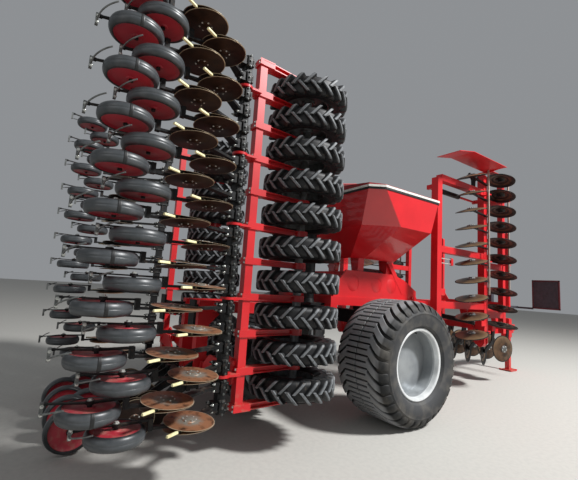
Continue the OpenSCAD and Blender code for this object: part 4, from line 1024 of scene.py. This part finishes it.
def seal(name, start, end):
    """A strip on the hopper's wall between two points of its plan, in millimetres."""
    length = math.dist(start, end)
    strip = block(name, (0.0, -0.007, 0.0), (length * MM, 0.001, (SEAL_HIGH - SEAL_LOW) * MM), STRAP, 2.0)
    turn = math.degrees(math.atan2(end[1] - start[1], end[0] - start[0]))
    piece = copies(strip, name, [at(start[0], start[1], SEAL_LOW, ("Z", turn))])
    drop(strip)
    return piece


right_plan = [(HOPPER_X - HOPPER_CUT, HOPPER_BACK), (HOPPER_X, HOPPER_BACK + HOPPER_BACK_CUT),
              (HOPPER_X, HOPPER_FRONT - HOPPER_CUT), (HOPPER_X - HOPPER_CUT, HOPPER_FRONT)]
seal_plan = right_plan + [(-x, y) for x, y in reversed(right_plan)]
strips = [seal("seal_strip", *ends) for ends in zip(seal_plan, seal_plan[1:] + seal_plan[:1])]
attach(joined("hopper_seal", *strips), "chassis")


# Blanking discs in the round holes of the chassis side plates

PLATE_X = 600
PLATE_Z = 1445
HOLE_Y = (-210, 200, 480)

blank = turned("plate_blank", [(0.4, -7), (94, -7), (94.5, 8), (92, 9.5), (0.4, 9.5), (0.4, -7)], 40, RED)
right_blanks = [at(PLATE_X, y, PLATE_Z, ("Y", 90)) for y in HOLE_Y]
blanks = copies(blank, "plate_blanks", right_blanks + [MIRROR @ turn for turn in right_blanks])
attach(blanks, "chassis")
drop(blank)


# Front board: maroon bars over its frame

BOARD_X = (857, 1283)
BOARD_Y = (3992, 4016)
BOARD_Z = (1247, 1753)
BOARD_BAR = 23

board_uprights = [placed_block("board_bar", x, BOARD_Y, BOARD_Z, MAROON, 3.0)
                  for x in ((BOARD_X[0], BOARD_X[0] + BOARD_BAR), (BOARD_X[1] - BOARD_BAR, BOARD_X[1]))]
board_rails = [placed_block("board_bar", BOARD_X, BOARD_Y, z, MAROON, 3.0)
               for z in ((BOARD_Z[0], BOARD_Z[0] + BOARD_BAR), (BOARD_Z[1] - BOARD_BAR, BOARD_Z[1]))]
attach(joined("board_frame", *board_uprights, *board_rails), "chassis")


# Floor, lamps and view transform

FLOOR_SIZE = 120
FLOOR_Z = -0.002
SKY_STRENGTH = 0.33


def lamp(name, place, size, watts, aim):
    """A round softbox: its place and the point it faces in metres, its size across and its power."""
    data = bpy.data.lights.new(name, "AREA")
    data.shape = "DISK"
    data.size = size
    data.energy = watts
    obj = bpy.data.objects.new(name, data)
    bpy.context.scene.collection.objects.link(obj)
    obj.location = place
    obj.rotation_mode = "QUATERNION"
    obj.rotation_quaternion = (Vector(aim) - Vector(place)).to_track_quat("-Z", "Y")


lamp("sun_softbox", (9.0, 4.5, 12.0), 2.2, 3700.0, (0.0, -0.5, 1.2))
lamp("fill_softbox", (6.0, -12.0, 5.0), 7.0, 130.0, (0.0, 0.0, 1.5))
world = bpy.data.worlds.new("studio")
bpy.context.scene.world = world
world.use_nodes = True
sky = world.node_tree.nodes["Background"]
sky.inputs["Color"].default_value = linear("#E9EDF2")
sky.inputs["Strength"].default_value = SKY_STRENGTH
start_primitive()
bpy.ops.mesh.primitive_plane_add(size=FLOOR_SIZE, location=(0, 0, FLOOR_Z))
floor = bpy.context.object
floor.name = "studio_floor"
floor.data.materials.append(moulded("pale_studio_floor", "#B6B4AE", "#AFADA8", 0.9))
bpy.context.scene.view_settings.view_transform = "Standard"
